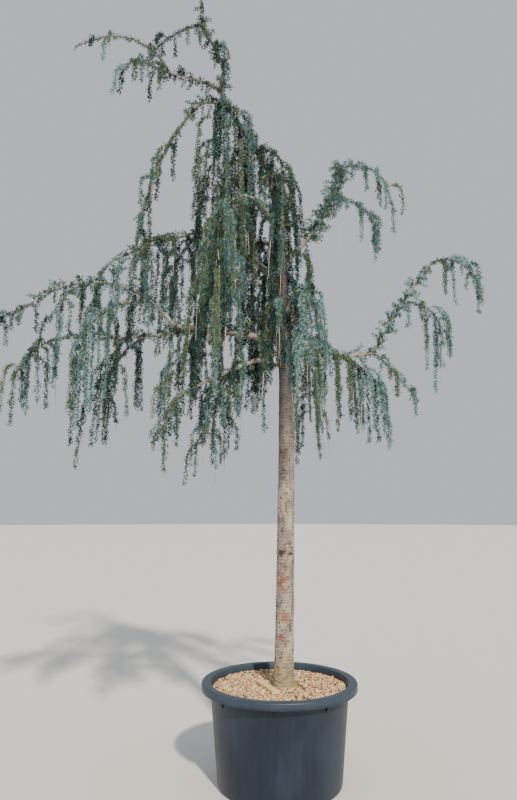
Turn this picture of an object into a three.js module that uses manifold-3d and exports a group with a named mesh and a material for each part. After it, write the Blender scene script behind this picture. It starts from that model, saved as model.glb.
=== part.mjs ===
// A weeping blue atlas cedar, a nursery specimen about 5.2 m tall in a round black container.
// Millimetres, +Z up. The origin is the centre of the container's flat underside, where it stands.
// +X is to the right of the front view, -Y is towards the viewer. Azimuths are degrees from +X to +Y.
import * as THREE from 'three';
import Module from 'manifold-3d';
import { mergeVertices } from 'three/addons/utils/BufferGeometryUtils.js';

const wasm = await Module();
wasm.setup();

// Container: a tapered wall under a rolled rim, with gussets under the roll.
const POT_HEIGHT = 550;
const RIM_RADIUS = 450;
const RIM_HEIGHT = 42;
const WALL_TOP_RADIUS = 403;
const WALL_FOOT_RADIUS = 352;
const WALL = 7;
const FOOT_ROUND = 22;
const POT_SIDES = 28;
const GUSSETS = 8;
const GUSSET = { width: 9, height: 34, depth: 16, turn: -7.7 };
const GUSSET_SINK = 4;

// Substrate, filled to just under the rim, and a loose offcut of board on it.
const SOIL_TOP = 516;
const SLAT = { length: 262, width: 42, thickness: 18, x: -72, y: -64, azimuth: -68 };

// Trunk: from a flat cut on the substrate, with a root flare, over its lean to the leader.
// Each row is x, y, z and the radius there.
const FLARE = 13;
const FLARE_HEIGHT = 70;
const TRUNK_SIDES = 10;
const TRUNK_ROUTE = [
  [25, 0, SOIL_TOP - 8, 56],
  [36, 4, 1000, 54],
  [47, 10, 1580, 51],
  [54, 8, 2150, 47],
  [47, 0, 2540, 43],
  [34, -6, 2880, 39],
  [12, -4, 3240, 30],
  [-8, 4, 3560, 26],
  [-48, 8, 3750, 23],
  [-165, 6, 3960, 20],
  [-318, 0, 4205, 16],
  [-376, -4, 4360, 14],
  [-360, 0, 4520, 9],
  [-430, 6, 4695, 8],
  [-502, 8, 4840, 7],
  [-512, 8, 4935, 6],
];
const STUB = { height: 2632, azimuth: 336, pitch: 44, length: 250, radius: 14 };

// Clearance between solids that touch on the tree, and the sides of limbs and twigs.
const GAP = 0.3;
const TIP_CLEAR = 0.36;
const TIP_LEAD = 6;
const SLIVER = 0.08;
const BOUGH_SIDES = 6;
const TWIG_SIDES = 3;

// Weeping shoots: slim cores with whorls of needles that stand out of them like teeth.
const CORE_RADIUS = 5;
const NEEDLE_RADIUS = 31;
const WHORL_PITCH = 172;
const WHORL_OPENING = 0.78;
const WHORL_TWIST = 52;
const WHORL_TAPER = 0.35;
const TIP_RADIUS = 2;
const STEM_SIZE = 0.85;
const STEM_BARE_LEAST = 50;

// How a shoot leaves its stem: where, how far to the side, and how it bends over to hang.
const SHOOT = {
  first: 0.08, span: 0.8, aside: 25, asideSpan: 110, turnSpan: 30, rise: 28, fall: -89, sway: 5,
  arch: 120, bareMost: 100,
};

// The rule that keeps twigs apart: the free length by a root, and the room round the rest.
const STEM_FREE = 70;
const SHOOT_FREE = 95;
const CLEARANCE = 4;
const OWN_CLOSENESS = 0.7;
const SWING_STEP = 5;
const TRIES = 24;
const SEED = 1000;
const SEED_STEP = 100;
const LEAST_WIDTH = 0.02;
const WALK_STEP = 30;

// Boughs, from where each leaves its carrier: a height on the trunk or a share of a bough.
// Its azimuth swings by turn and its pitch goes from rise to fall along its length.
const BOUGHS = {
  bough_top: {
    on: 'trunk', at: 4340, azimuth: 183, rise: 24, fall: 8, length: 440, thick: 12, thin: 8,
  },
  bough_upper_left: {
    on: 'trunk', at: 4215, azimuth: 186, rise: 38, fall: -78, length: 360, thick: 12, thin: 8,
  },
  bough_left_inner: {
    on: 'trunk', at: 2900, azimuth: 170, rise: 53, fall: 56, length: 610, thick: 21, thin: 15,
  },
  bough_left_outer: {
    on: 'bough_left_inner', at: 0.96, azimuth: 172, turn: 8, rise: -4, fall: -26, length: 830,
    thick: 13, thin: 7,
  },
  bough_far_left_inner: {
    on: 'trunk', at: 2560, azimuth: 190, rise: 9, fall: 2, length: 730, thick: 22, thin: 16,
  },
  bough_far_left_outer: {
    on: 'bough_far_left_inner', at: 0.97, azimuth: 184, turn: 6, rise: 59, fall: -42,
    length: 970, thick: 14, thin: 6,
  },
  bough_low_left: {
    on: 'bough_far_left_inner', at: 0.72, azimuth: 166, turn: 18, rise: -6, fall: 2,
    length: 900, thick: 12, thin: 7,
  },
  bough_front_low: {
    on: 'trunk', at: 2500, azimuth: 218, rise: -20, fall: -31, length: 800, thick: 17, thin: 8,
  },
  bough_right_high: {
    on: 'trunk', at: 3080, azimuth: 352, rise: 38, fall: 78, length: 790, thick: 21, thin: 10,
  },
  bough_right_inner: {
    on: 'trunk', at: 2645, azimuth: 10, rise: -42, fall: 19, length: 660, thick: 18, thin: 12,
  },
  bough_right_outer: {
    on: 'bough_right_inner', at: 0.97, azimuth: 6, rise: 61, fall: 53, length: 720, thick: 11,
    thin: 6,
  },
  bough_back: {
    on: 'trunk', at: 2780, azimuth: 80, rise: 34, fall: -24, length: 800, thick: 18, thin: 8,
  },
  bough_back_left: {
    on: 'trunk', at: 3180, azimuth: 122, rise: 36, fall: -24, length: 820, thick: 18, thin: 8,
  },
  bough_back_low: {
    on: 'trunk', at: 2420, azimuth: 130, rise: 14, fall: -24, length: 640, thick: 15, thin: 8,
  },
  bough_front: {
    on: 'trunk', at: 3260, azimuth: 246, rise: 36, fall: -30, length: 600, thick: 16, thin: 8,
  },
  bough_front_right: {
    on: 'trunk', at: 2740, azimuth: 280, rise: 20, fall: -30, length: 560, thick: 16, thin: 8,
  },
};

// Masses of foliage. A stem leaves its carrier as a bough does, bends over within the share bend
// of its length, and is clothed from the share bare on. Shoots hang from it, each within drop.
const MASSES = {
  foliage_leader: {
    on: 'trunk', at: 1, azimuth: 170, rise: 84, fall: 80, length: 240, bare: 0.1, shoots: 0,
  },
  foliage_leader_left: {
    on: 'trunk', at: 4850, azimuth: 163, turn: 8, rise: 8, fall: -45, bend: 0.76, length: 500,
    bare: 0.14, shoots: 3, drop: [20, 70], reach: 50,
  },
  foliage_leader_right: {
    on: 'trunk', at: 4700, azimuth: 350, rise: 10, fall: -80, bend: 0.7, length: 200, bare: 0.2,
    shoots: 1, drop: [30, 60], reach: 40,
  },
  foliage_top_high: {
    on: 'bough_top', at: 0.86, azimuth: 196, turn: -6, rise: 68, fall: -29, bend: 0.8,
    length: 720, bare: 0.16, shoots: 2, drop: [10, 60], reach: 40,
  },
  foliage_top_tip: {
    on: 'bough_top', at: 1, azimuth: 184, rise: 14, fall: -57, bend: 0.8, length: 370,
    bare: 0.1, shoots: 3, drop: [50, 170], reach: 50,
  },
  foliage_upper_left: {
    on: 'bough_upper_left', at: 1, azimuth: 186, turn: -10, rise: -56, fall: -79, bend: 0.64,
    length: 1020, bare: 0.02, shoots: 4, drop: [160, 380], reach: 50,
  },
  foliage_crown_left: {
    on: 'trunk', at: 4230, azimuth: 232, turn: 10, rise: 14, fall: -88, bend: 0.16, length: 950,
    bare: 0.14, shoots: 6, drop: [250, 620], reach: 50,
  },
  foliage_crown_front: {
    on: 'trunk', at: 4130, azimuth: 274, turn: -10, rise: 20, fall: -88, bend: 0.2,
    length: 1000, bare: 0.14, shoots: 6, drop: [300, 650], reach: 50,
  },
  foliage_crown_back: {
    on: 'trunk', at: 4080, azimuth: 92, turn: 20, rise: 24, fall: -88, bend: 0.25, length: 1050,
    bare: 0.16, shoots: 7, drop: [300, 700], reach: 60,
  },
  foliage_shoulder: {
    on: 'trunk', at: 3900, azimuth: 20, turn: -30, rise: 30, fall: -86, bend: 0.4, length: 620,
    bare: 0.14, shoots: 5, drop: [160, 420], reach: 80,
  },
  foliage_neck_right: {
    on: 'trunk', at: 3690, azimuth: 296, turn: 20, rise: 30, fall: -88, bend: 0.22, length: 800,
    bare: 0.14, shoots: 6, drop: [250, 560], reach: 50,
  },
  foliage_neck_back: {
    on: 'trunk', at: 3560, azimuth: 60, turn: -20, rise: 24, fall: -88, bend: 0.35, length: 850,
    bare: 0.16, shoots: 6, drop: [250, 600], reach: 90,
  },
  foliage_front_tip: {
    on: 'bough_front', at: 1, azimuth: 226, rise: -30, fall: -86, bend: 0.4, length: 850,
    bare: 0.05, shoots: 7, drop: [250, 560], reach: 80,
  },
  foliage_front_side: {
    on: 'bough_front', at: 0.55, azimuth: 190, turn: 20, rise: 10, fall: -86, bend: 0.4,
    length: 850, bare: 0.15, shoots: 7, drop: [300, 650], reach: 80,
  },
  foliage_left_tip: {
    on: 'bough_left_outer', at: 1, azimuth: 180, rise: -40, fall: -84, bend: 0.5, length: 420,
    bare: 0.05, shoots: 3, drop: [160, 300], reach: 60,
  },
  foliage_left_mid: {
    on: 'bough_left_outer', at: 0.5, azimuth: 200, turn: -10, rise: -8, fall: -84, bend: 0.9,
    length: 640, bare: 0.12, shoots: 5, drop: [240, 520], reach: 60,
  },
  foliage_left_inner: {
    on: 'bough_left_outer', at: 0.1, azimuth: 148, turn: 24, rise: 14, fall: -86, bend: 0.7,
    length: 760, bare: 0.12, shoots: 6, drop: [240, 560], reach: 80,
  },
  foliage_far_left_tip: {
    on: 'bough_far_left_outer', at: 1, azimuth: 184, rise: -35, fall: -20, bend: 1, length: 290,
    bare: 0.05, shoots: 3, drop: [20, 100], reach: 50,
  },
  foliage_far_left_outer: {
    on: 'bough_far_left_outer', at: 0.6, azimuth: 204, rise: -16, fall: -72, bend: 0.8,
    length: 420, bare: 0.1, shoots: 3, drop: [110, 240], reach: 50,
  },
  foliage_far_left_mid: {
    on: 'bough_far_left_outer', at: 0.2, azimuth: 206, turn: -16, rise: 10, fall: -86,
    bend: 0.8, length: 760, bare: 0.12, shoots: 6, drop: [260, 600], reach: 80,
  },
  foliage_far_left_inner: {
    on: 'bough_far_left_inner', at: 0.55, azimuth: 215, turn: -20, rise: -6, fall: -84,
    bend: 0.8, length: 560, bare: 0.12, shoots: 6, drop: [180, 380], reach: 70,
  },
  foliage_low_left_tip: {
    on: 'bough_low_left', at: 1, azimuth: 184, rise: -10, fall: -70, bend: 0.9, length: 420,
    bare: 0.05, shoots: 4, drop: [240, 400], reach: 60,
  },
  foliage_low_left_mid: {
    on: 'bough_low_left', at: 0.4, azimuth: 158, turn: 20, rise: -4, fall: -84, bend: 0.8,
    length: 660, bare: 0.12, shoots: 5, drop: [240, 480], reach: 80,
  },
  foliage_front_low_tip: {
    on: 'bough_front_low', at: 1, azimuth: 212, rise: -26, fall: -82, bend: 0.7, length: 320,
    bare: 0.05, shoots: 3, drop: [80, 190], reach: 60,
  },
  foliage_front_low_side: {
    on: 'bough_front_low', at: 0.35, azimuth: 186, turn: 20, rise: -10, fall: -86, bend: 0.8,
    length: 420, bare: 0.12, shoots: 5, drop: [120, 300], reach: 70,
  },
  foliage_waist_left: {
    on: 'trunk', at: 2990, azimuth: 200, turn: 20, rise: 16, fall: -88, bend: 0.3, length: 760,
    bare: 0.16, shoots: 7, drop: [230, 490], reach: 60,
  },
  foliage_right_high_tip: {
    on: 'bough_right_high', at: 1, azimuth: 356, rise: 18, fall: -84, bend: 0.85, length: 480,
    bare: 0.05, shoots: 3, drop: [40, 160], reach: 50,
  },
  foliage_right_high_fall: {
    on: 'bough_right_high', at: 0.7, azimuth: 350, rise: 6, fall: -70, bend: 0.7, length: 460,
    bare: 0.1, shoots: 3, drop: [60, 180], reach: 50,
  },
  foliage_right_high_inner: {
    on: 'bough_right_high', at: 0.16, azimuth: 284, turn: 30, rise: 0, fall: -86, bend: 0.3,
    length: 420, bare: 0.1, shoots: 3, drop: [160, 300], reach: 45,
  },
  foliage_right_low: {
    on: 'bough_right_inner', at: 0.4, azimuth: 346, turn: 14, rise: -14, fall: -64, bend: 1,
    length: 520, bare: 0.1, shoots: 7, drop: [180, 420], reach: 50,
  },
  foliage_right_fall: {
    on: 'bough_right_inner', at: 0.97, azimuth: 350, rise: -46, fall: -56, length: 430,
    bare: 0.05, shoots: 3, drop: [20, 110], reach: 50,
  },
  foliage_right_mid: {
    on: 'bough_right_outer', at: 0.55, azimuth: 350, turn: 20, rise: 10, fall: -80, bend: 0.7,
    length: 460, bare: 0.1, shoots: 4, drop: [100, 360], reach: 50,
  },
  foliage_right_tip: {
    on: 'bough_right_outer', at: 1, azimuth: 6, turn: -10, rise: 48, fall: -66, bend: 0.7,
    length: 520, bare: 0.05, shoots: 4, drop: [60, 200], reach: 60,
  },
  foliage_back_tip: {
    on: 'bough_back', at: 1, azimuth: 66, rise: -20, fall: -86, bend: 0.6, length: 760,
    bare: 0.05, shoots: 6, drop: [260, 560], reach: 90,
  },
  foliage_back_side: {
    on: 'bough_back', at: 0.45, azimuth: 40, turn: 40, rise: 8, fall: -86, bend: 0.3,
    length: 700, bare: 0.12, shoots: 6, drop: [260, 520], reach: 60,
  },
  foliage_back_left_tip: {
    on: 'bough_back_left', at: 1, azimuth: 124, rise: -20, fall: -86, bend: 0.6, length: 800,
    bare: 0.05, shoots: 6, drop: [260, 600], reach: 90,
  },
  foliage_back_left_side: {
    on: 'bough_back_left', at: 0.45, azimuth: 84, turn: 30, rise: 4, fall: -86, bend: 0.5,
    length: 720, bare: 0.12, shoots: 6, drop: [260, 560], reach: 90,
  },
  foliage_back_low: {
    on: 'bough_back_low', at: 1, azimuth: 130, rise: -24, fall: -86, bend: 0.5, length: 500,
    bare: 0.05, shoots: 5, drop: [160, 340], reach: 90,
  },
  foliage_front_right_tip: {
    on: 'bough_front_right', at: 1, azimuth: 284, rise: -24, fall: -86, bend: 0.4, length: 480,
    bare: 0.05, shoots: 5, drop: [120, 300], reach: 50,
  },
  foliage_front_right_side: {
    on: 'bough_front_right', at: 0.36, azimuth: 214, turn: 20, rise: 10, fall: -86, bend: 0.3,
    length: 500, bare: 0.12, shoots: 5, drop: [180, 380], reach: 50,
  },
};

const MATERIALS = {
  pot: new THREE.MeshStandardMaterial({ color: '#33383f', roughness: 0.5, metalness: 0 }),
  soil: new THREE.MeshStandardMaterial({ color: '#b39474', roughness: 1, metalness: 0 }),
  slat: new THREE.MeshStandardMaterial({ color: '#c9a877', roughness: 0.85, metalness: 0 }),
  trunk: new THREE.MeshStandardMaterial({ color: '#8f8375', roughness: 0.95, metalness: 0 }),
  bough: new THREE.MeshStandardMaterial({ color: '#857868', roughness: 0.95, metalness: 0 }),
  foliage: new THREE.MeshStandardMaterial({ color: '#5f7f74', roughness: 0.8, metalness: 0 }),
};

// A repeatable stream of numbers from 0 to 1.
function dice(seed) {
  let state = seed;
  return () => {
    state = (1664525 * state + 1013904223) % 4294967296;
    return state / 4294967296;
  };
}

function heading(azimuth, pitch) {
  const a = THREE.MathUtils.degToRad(azimuth);
  const p = THREE.MathUtils.degToRad(pitch);
  return new THREE.Vector3(Math.cos(a) * Math.cos(p), Math.sin(a) * Math.cos(p), Math.sin(p));
}

// The centre line of a limb or shoot, in short equal steps from start.
function walk(start, { azimuth, turn = 0, rise, fall, bend = 1, length }) {
  const steps = Math.max(2, Math.round(length / WALK_STEP));
  const points = [start.clone()];
  for (let i = 0; i < steps; i += 1) {
    const share = (i + 0.5) / steps;
    const pitch = rise + (fall - rise) * Math.min(1, share / bend);
    points.push(points[i].clone().addScaledVector(heading(azimuth + turn * share, pitch), length / steps));
  }
  return points;
}

// A place a given share of the way along evenly stepped points.
function along(points, share) {
  const place = Math.min(Math.max(share, 0), 1) * (points.length - 1);
  const i = Math.min(Math.floor(place), points.length - 2);
  return points[i].clone().lerp(points[i + 1], place - i);
}

function toSolid(geometry) {
  geometry.deleteAttribute('normal');
  geometry.deleteAttribute('uv');
  const merged = mergeVertices(geometry, 1e-3);
  return new wasm.Manifold(new wasm.Mesh({
    numProp: 3,
    vertProperties: merged.getAttribute('position').array,
    triVerts: new Uint32Array(merged.index.array),
  }));
}

function toGeometry(solid) {
  const { numProp, numVert, vertProperties, triVerts } = solid.getMesh();
  const position = new Float32Array(numVert * 3);
  for (let i = 0; i < numVert; i += 1) {
    position.set(vertProperties.subarray(i * numProp, i * numProp + 3), i * 3);
  }
  const geometry = new THREE.BufferGeometry();
  geometry.setAttribute('position', new THREE.BufferAttribute(position, 3));
  geometry.setIndex(new THREE.BufferAttribute(triVerts, 1));
  return geometry;
}

// A cylinder bent along rings: each has its centre, its radius and a twist in degrees.
function tube(rings, sides) {
  const last = rings.length - 1;
  const geometry = new THREE.CylinderGeometry(1, 1, 1, sides, last);
  const position = geometry.getAttribute('position');
  const frames = [];
  let across = new THREE.Vector3(0.37, 0.86, 0.35);
  rings.forEach(({ centre }, i) => {
    const before = rings[Math.max(i - 1, 0)].centre;
    const after = rings[Math.min(i + 1, last)].centre;
    const forward = after.clone().sub(before).normalize();
    across = across.clone().addScaledVector(forward, -across.dot(forward)).normalize();
    frames.push({ centre, across, beside: across.clone().cross(forward) });
  });
  for (let i = 0; i < position.count; i += 1) {
    const ring = Math.round((position.getY(i) + 0.5) * last);
    const { centre, across: u, beside: v } = frames[ring];
    const { radius, twist = 0 } = rings[ring];
    const spoke = Math.hypot(position.getX(i), position.getZ(i)) * radius;
    const angle = Math.atan2(position.getZ(i), position.getX(i)) + THREE.MathUtils.degToRad(twist);
    const at = centre.clone()
      .addScaledVector(u, spoke * Math.cos(angle))
      .addScaledVector(v, spoke * Math.sin(angle));
    position.setXYZ(i, at.x, at.y, at.z);
  }
  return toSolid(geometry);
}

// The main body of a cut solid, without scraps and slivers.
function largest(solid) {
  return solid.simplify(SLIVER).decompose()
    .reduce((best, piece) => (piece.volume() > best.volume() ? piece : best));
}

// The trunk's centre line, evenly stepped, and its radius at a height.
const trunkLine = new THREE.CatmullRomCurve3(TRUNK_ROUTE.map(([x, y, z]) => new THREE.Vector3(x, y, z)))
  .getSpacedPoints(150);

function trunkRadius(height) {
  const above = Math.max(1, TRUNK_ROUTE.findIndex((row) => row[2] >= height));
  const [, , low, lowRadius] = TRUNK_ROUTE[above - 1];
  const [, , high, highRadius] = TRUNK_ROUTE[above];
  const taper = lowRadius + (highRadius - lowRadius) * ((height - low) / (high - low));
  return taper + FLARE * Math.exp(-(height - SOIL_TOP) / FLARE_HEIGHT);
}

function shareAtHeight(height) {
  return trunkLine.findIndex((p) => p.z >= height) / (trunkLine.length - 1);
}

function evenly(count) {
  return Array.from({ length: count + 1 }, (_, i) => i / count);
}

// Every limb: its line, its radius at a share of the line, its sides and the shares of its rings.
const limbs = {
  trunk: {
    line: trunkLine,
    radiusAt: (share) => trunkRadius(along(trunkLine, share).z),
    sides: TRUNK_SIDES,
    shares: [0, 0.008, 0.02, 0.045, ...evenly(10).slice(1, 5), ...evenly(34).slice(15)],
  },
};

// Where a bough or a stem leaves its carrier.
function startOn({ on, at }) {
  const carrier = limbs[on];
  return along(carrier.line, on === 'trunk' && at > 1 ? shareAtHeight(at) : at);
}

Object.entries(BOUGHS).forEach(([name, bough]) => {
  limbs[name] = {
    line: walk(startOn(bough), bough),
    radiusAt: (share) => bough.thick + (bough.thin - bough.thick) * share,
    sides: BOUGH_SIDES,
    shares: evenly(Math.max(4, Math.round(bough.length / 120))),
    carrier: bough.on,
  };
});

// A limb's solid, swollen by grow where room has to be cut for it.
function limbSolid({ line, radiusAt, sides, shares }, grow = 0) {
  const swell = grow / Math.cos(Math.PI / sides);
  const rings = shares.map((share) => ({ centre: along(line, share), radius: radiusAt(share) + swell }));
  if (grow > 0) {
    const lead = rings[0].centre.clone().sub(rings[1].centre).setLength(grow);
    const end = rings.at(-1).centre.clone().sub(rings.at(-2).centre).setLength(grow);
    rings[0].centre.add(lead);
    rings.at(-1).centre.add(end);
  }
  return tube(rings, sides);
}

const stubRoot = along(trunkLine, shareAtHeight(STUB.height));
limbs.stub = {
  line: walk(stubRoot, { ...STUB, rise: STUB.pitch, fall: STUB.pitch }),
  radiusAt: () => STUB.radius,
  sides: BOUGH_SIDES,
  shares: [0, 1],
};

const room = Object.fromEntries(Object.entries(limbs).map(([name, limb]) => [name, limbSolid(limb, GAP)]));

// Space already taken: balls along every limb and shoot, each with its owner.
const taken = [];

function balls(points, radiusAt, owner) {
  const count = 2 * (points.length - 1);
  return Array.from({ length: count + 1 }, (_, i) => (
    { at: along(points, i / count), radius: radiusAt(i / count), owner }
  ));
}

Object.entries(limbs).forEach(([name, limb]) => {
  taken.push(...balls(limb.line, (share) => limb.radiusAt(share), name));
});

// True where no ball comes near one of another owner. Near its root a shoot may touch limbs,
// whose room is cut from it, and its own mass, which it joins.
function isClear(mine, owner, root, free, own = []) {
  return mine.every((ball) => {
    const nearRoot = ball.at.distanceTo(root) < free;
    return [...taken, ...own].every((other) => {
      if (nearRoot && (other.owner === owner || other.owner in limbs)) return true;
      const closeness = other.owner === owner ? OWN_CLOSENESS : 1;
      return ball.at.distanceTo(other.at) > (ball.radius + other.radius) * closeness + CLEARANCE;
    });
  });
}

// The rings of a shoot: a bare root, then whorls that open along it, then a thin tip.
function shootRings(points, length, bare, size, twist) {
  const rings = [
    { centre: points[0], radius: CORE_RADIUS + 2 },
    { centre: along(points, bare / 2 / length), radius: CORE_RADIUS + 1 },
  ];
  const whorls = Math.max(1, Math.round((length - bare) / WHORL_PITCH));
  const pitch = (length - bare) / whorls;
  for (let i = 0; i < whorls; i += 1) {
    const from = bare + i * pitch;
    const taper = 1 - WHORL_TAPER * (i / whorls);
    const turned = twist + i * WHORL_TWIST;
    rings.push({ centre: along(points, from / length), radius: CORE_RADIUS, twist: turned });
    rings.push({
      centre: along(points, (from + WHORL_OPENING * pitch) / length),
      radius: NEEDLE_RADIUS * size * taper,
      twist: turned,
    });
  }
  rings.push({ centre: points.at(-1), radius: TIP_RADIUS, twist: twist + whorls * WHORL_TWIST });
  return rings;
}

// Two rings that carry a limb on from its tip, square to its end and just clear of it.
function tipRings({ line, shares }) {
  const onward = line.at(-1).clone().sub(along(line, shares.at(-2))).normalize();
  return [TIP_CLEAR, TIP_LEAD].map((ahead) => (
    { centre: line.at(-1).clone().addScaledVector(onward, ahead), radius: CORE_RADIUS + 1 }
  ));
}

// The space a shoot needs: slim along its bare root, then as wide as its whorls.
function shootBalls(points, bareShare, size, owner) {
  return balls(points, (share) => (share < bareShare ? CORE_RADIUS + 2 : NEEDLE_RADIUS * size), owner);
}

// A mass's stem, swung a little further each time until it is clear.
function findStem(name, mass) {
  const root = startOn(mass);
  const free = limbs[mass.on].radiusAt(Math.min(mass.at, 1)) + STEM_FREE;
  for (let attempt = 0; attempt < 2 * TRIES; attempt += 1) {
    const swing = (attempt % 2 ? 1 : -1) * Math.ceil(attempt / 2) * SWING_STEP;
    const line = walk(root, { ...mass, azimuth: mass.azimuth + swing });
    const around = shootBalls(line, mass.bare, STEM_SIZE, name);
    if (isClear(around, name, root, free)) return { line, around };
  }
  throw new Error(`${name}: no clear place for its stem`);
}

// True where every face is wide enough to outlast rounding.
function isSound(solid) {
  const { numProp, vertProperties, triVerts } = solid.getMesh();
  const corner = (i) => new THREE.Vector3().fromArray(vertProperties, triVerts[i] * numProp);
  const face = new THREE.Triangle();
  for (let i = 0; i < triVerts.length; i += 3) {
    face.set(corner(i), corner(i + 1), corner(i + 2));
    const longest = Math.max(
      face.a.distanceTo(face.b),
      face.b.distanceTo(face.c),
      face.c.distanceTo(face.a),
    );
    if (2 * face.getArea() < LEAST_WIDTH * longest) return false;
  }
  return true;
}

// One mass: its stem, then its shoots, each tried a few times until it hangs clear.
function growMass(name, mass, seed) {
  const roll = dice(seed);
  const { line: stem, around: stemBalls } = findStem(name, mass);
  const stemBare = Math.max(mass.bare * mass.length, STEM_BARE_LEAST);
  const rings = shootRings(stem, mass.length, stemBare, STEM_SIZE, 360 * roll());
  if (mass.at === 1) rings.splice(0, 1, ...tipRings(limbs[mass.on]));
  let solid = tube(rings, TWIG_SIDES);
  const own = [...stemBalls];
  for (let i = 0; i < mass.shoots; i += 1) {
    for (let attempt = 0; attempt < TRIES; attempt += 1) {
      const share = SHOOT.first + SHOOT.span * ((i + roll()) / mass.shoots);
      const from = along(stem, share);
      const ahead = along(stem, share + 0.04).sub(from);
      const heads = THREE.MathUtils.radToDeg(Math.atan2(ahead.y, ahead.x));
      const side = (i + attempt) % 2 ? 1 : -1;
      const drop = mass.drop[0] + (mass.drop[1] - mass.drop[0]) * roll();
      const spread = mass.reach * (0.5 + roll());
      const length = SHOOT.arch + drop;
      const bare = Math.min(spread, SHOOT.bareMost);
      const points = walk(from, {
        azimuth: heads + side * (SHOOT.aside + SHOOT.asideSpan * roll()),
        turn: SHOOT.turnSpan * (roll() - 0.5),
        rise: SHOOT.rise,
        fall: SHOOT.fall + SHOOT.sway * roll(),
        bend: Math.min(0.9, (spread * 2) / length),
        length,
      });
      const around = shootBalls(points, bare / length, 1, name);
      if (isClear(around, name, from, SHOOT_FREE, own)) {
        solid = solid.add(tube(shootRings(points, length, bare, 1, 360 * roll()), TWIG_SIDES));
        own.push(...around);
        break;
      }
    }
  }
  Object.values(room).forEach((limb) => {
    solid = solid.subtract(limb);
  });
  return { solid: largest(solid), own };
}

// A mass that came out sound, grown again from another seed where a face is too thin.
function soundMass(name, mass, seed) {
  for (let round = 0; round < TRIES; round += 1) {
    const { solid, own } = growMass(name, mass, seed + round * SEED_STEP);
    if (isSound(solid)) {
      taken.push(...own);
      return solid;
    }
  }
  throw new Error(`${name}: no seed gives a sound solid`);
}

// The container's half section, from its underside to the rolled rim and down the inside.
function potSolid() {
  const slope = (WALL_TOP_RADIUS - WALL_FOOT_RADIUS) / POT_HEIGHT;
  const wallAt = (z) => WALL_FOOT_RADIUS + slope * z;
  const gussetFoot = POT_HEIGHT - RIM_HEIGHT - GUSSET.height;
  const section = [
    [0, 0],
    [WALL_FOOT_RADIUS - FOOT_ROUND, 0],
    [WALL_FOOT_RADIUS - FOOT_ROUND * 0.3, FOOT_ROUND * 0.3],
    [wallAt(FOOT_ROUND), FOOT_ROUND],
    [wallAt(gussetFoot - 6), gussetFoot - 6],
    [wallAt(POT_HEIGHT - RIM_HEIGHT), POT_HEIGHT - RIM_HEIGHT],
    [RIM_RADIUS - 8, POT_HEIGHT - RIM_HEIGHT],
    [RIM_RADIUS, POT_HEIGHT - RIM_HEIGHT + 8],
    [RIM_RADIUS, POT_HEIGHT - 12],
    [RIM_RADIUS - 12, POT_HEIGHT],
    [WALL_TOP_RADIUS + 8, POT_HEIGHT],
    [wallAt(POT_HEIGHT) - WALL, POT_HEIGHT - 10],
    [wallAt(WALL) - WALL, WALL],
    [0, WALL],
  ].map(([r, z]) => new THREE.Vector2(r, z));
  const lathe = new THREE.LatheGeometry(section, POT_SIDES);
  lathe.rotateX(Math.PI / 2);
  let solid = toSolid(lathe);
  for (let i = 0; i < GUSSETS; i += 1) {
    const box = new THREE.BoxGeometry(GUSSET.depth, GUSSET.width, GUSSET.height + GUSSET_SINK);
    box.translate(
      wallAt(gussetFoot) + GUSSET.depth / 2 - GUSSET_SINK,
      0,
      gussetFoot + (GUSSET.height + GUSSET_SINK) / 2,
    );
    box.rotateZ(THREE.MathUtils.degToRad(270 + GUSSET.turn + (360 * i) / GUSSETS));
    solid = solid.add(toSolid(box));
  }
  return solid;
}

// The substrate fills the container, clear of its wall and floor.
function soilSolid() {
  const slope = (WALL_TOP_RADIUS - WALL_FOOT_RADIUS) / POT_HEIGHT;
  const floor = WALL + GAP;
  const inside = (z) => WALL_FOOT_RADIUS + slope * z - WALL - 2 * GAP;
  const section = [[0, floor], [inside(floor), floor], [inside(SOIL_TOP), SOIL_TOP], [0, SOIL_TOP]]
    .map(([r, z]) => new THREE.Vector2(r, z));
  const lathe = new THREE.LatheGeometry(section, POT_SIDES);
  lathe.rotateX(Math.PI / 2);
  return toSolid(lathe);
}

function slatSolid() {
  const box = new THREE.BoxGeometry(SLAT.length, SLAT.width, SLAT.thickness);
  box.rotateZ(THREE.MathUtils.degToRad(SLAT.azimuth));
  box.translate(SLAT.x, SLAT.y, SOIL_TOP + GAP + SLAT.thickness / 2);
  return toSolid(box);
}

// The trunk with its sawn stub, cut flat just clear of the substrate.
function trunkSolid() {
  const ground = new THREE.BoxGeometry(600, 600, 200);
  ground.translate(0, 0, SOIL_TOP + GAP - 100);
  return largest(limbSolid(limbs.trunk).add(limbSolid(limbs.stub)).subtract(toSolid(ground)));
}

function boughSolid(name) {
  return largest(limbSolid(limbs[name]).subtract(room[limbs[name].carrier]));
}

const tree = new THREE.Group();

function put(name, solid, material) {
  const mesh = new THREE.Mesh(toGeometry(solid), material);
  mesh.name = name;
  tree.add(mesh);
}

put('pot', potSolid(), MATERIALS.pot);
put('soil', soilSolid(), MATERIALS.soil);
put('slat', slatSolid(), MATERIALS.slat);
put('trunk', trunkSolid(), MATERIALS.trunk);
Object.keys(BOUGHS).forEach((name) => put(name, boughSolid(name), MATERIALS.bough));
Object.entries(MASSES).forEach(([name, mass], i) => {
  put(name, soundMass(name, mass, SEED + i), MATERIALS.foliage);
});

export default tree;
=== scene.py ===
import math

import bmesh
import bpy
import numpy as np
from bpy.props import FloatProperty, FloatVectorProperty, IntProperty, PointerProperty
from bpy.types import Operator, Panel, PropertyGroup
from mathutils import Matrix, Vector, noise


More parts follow.
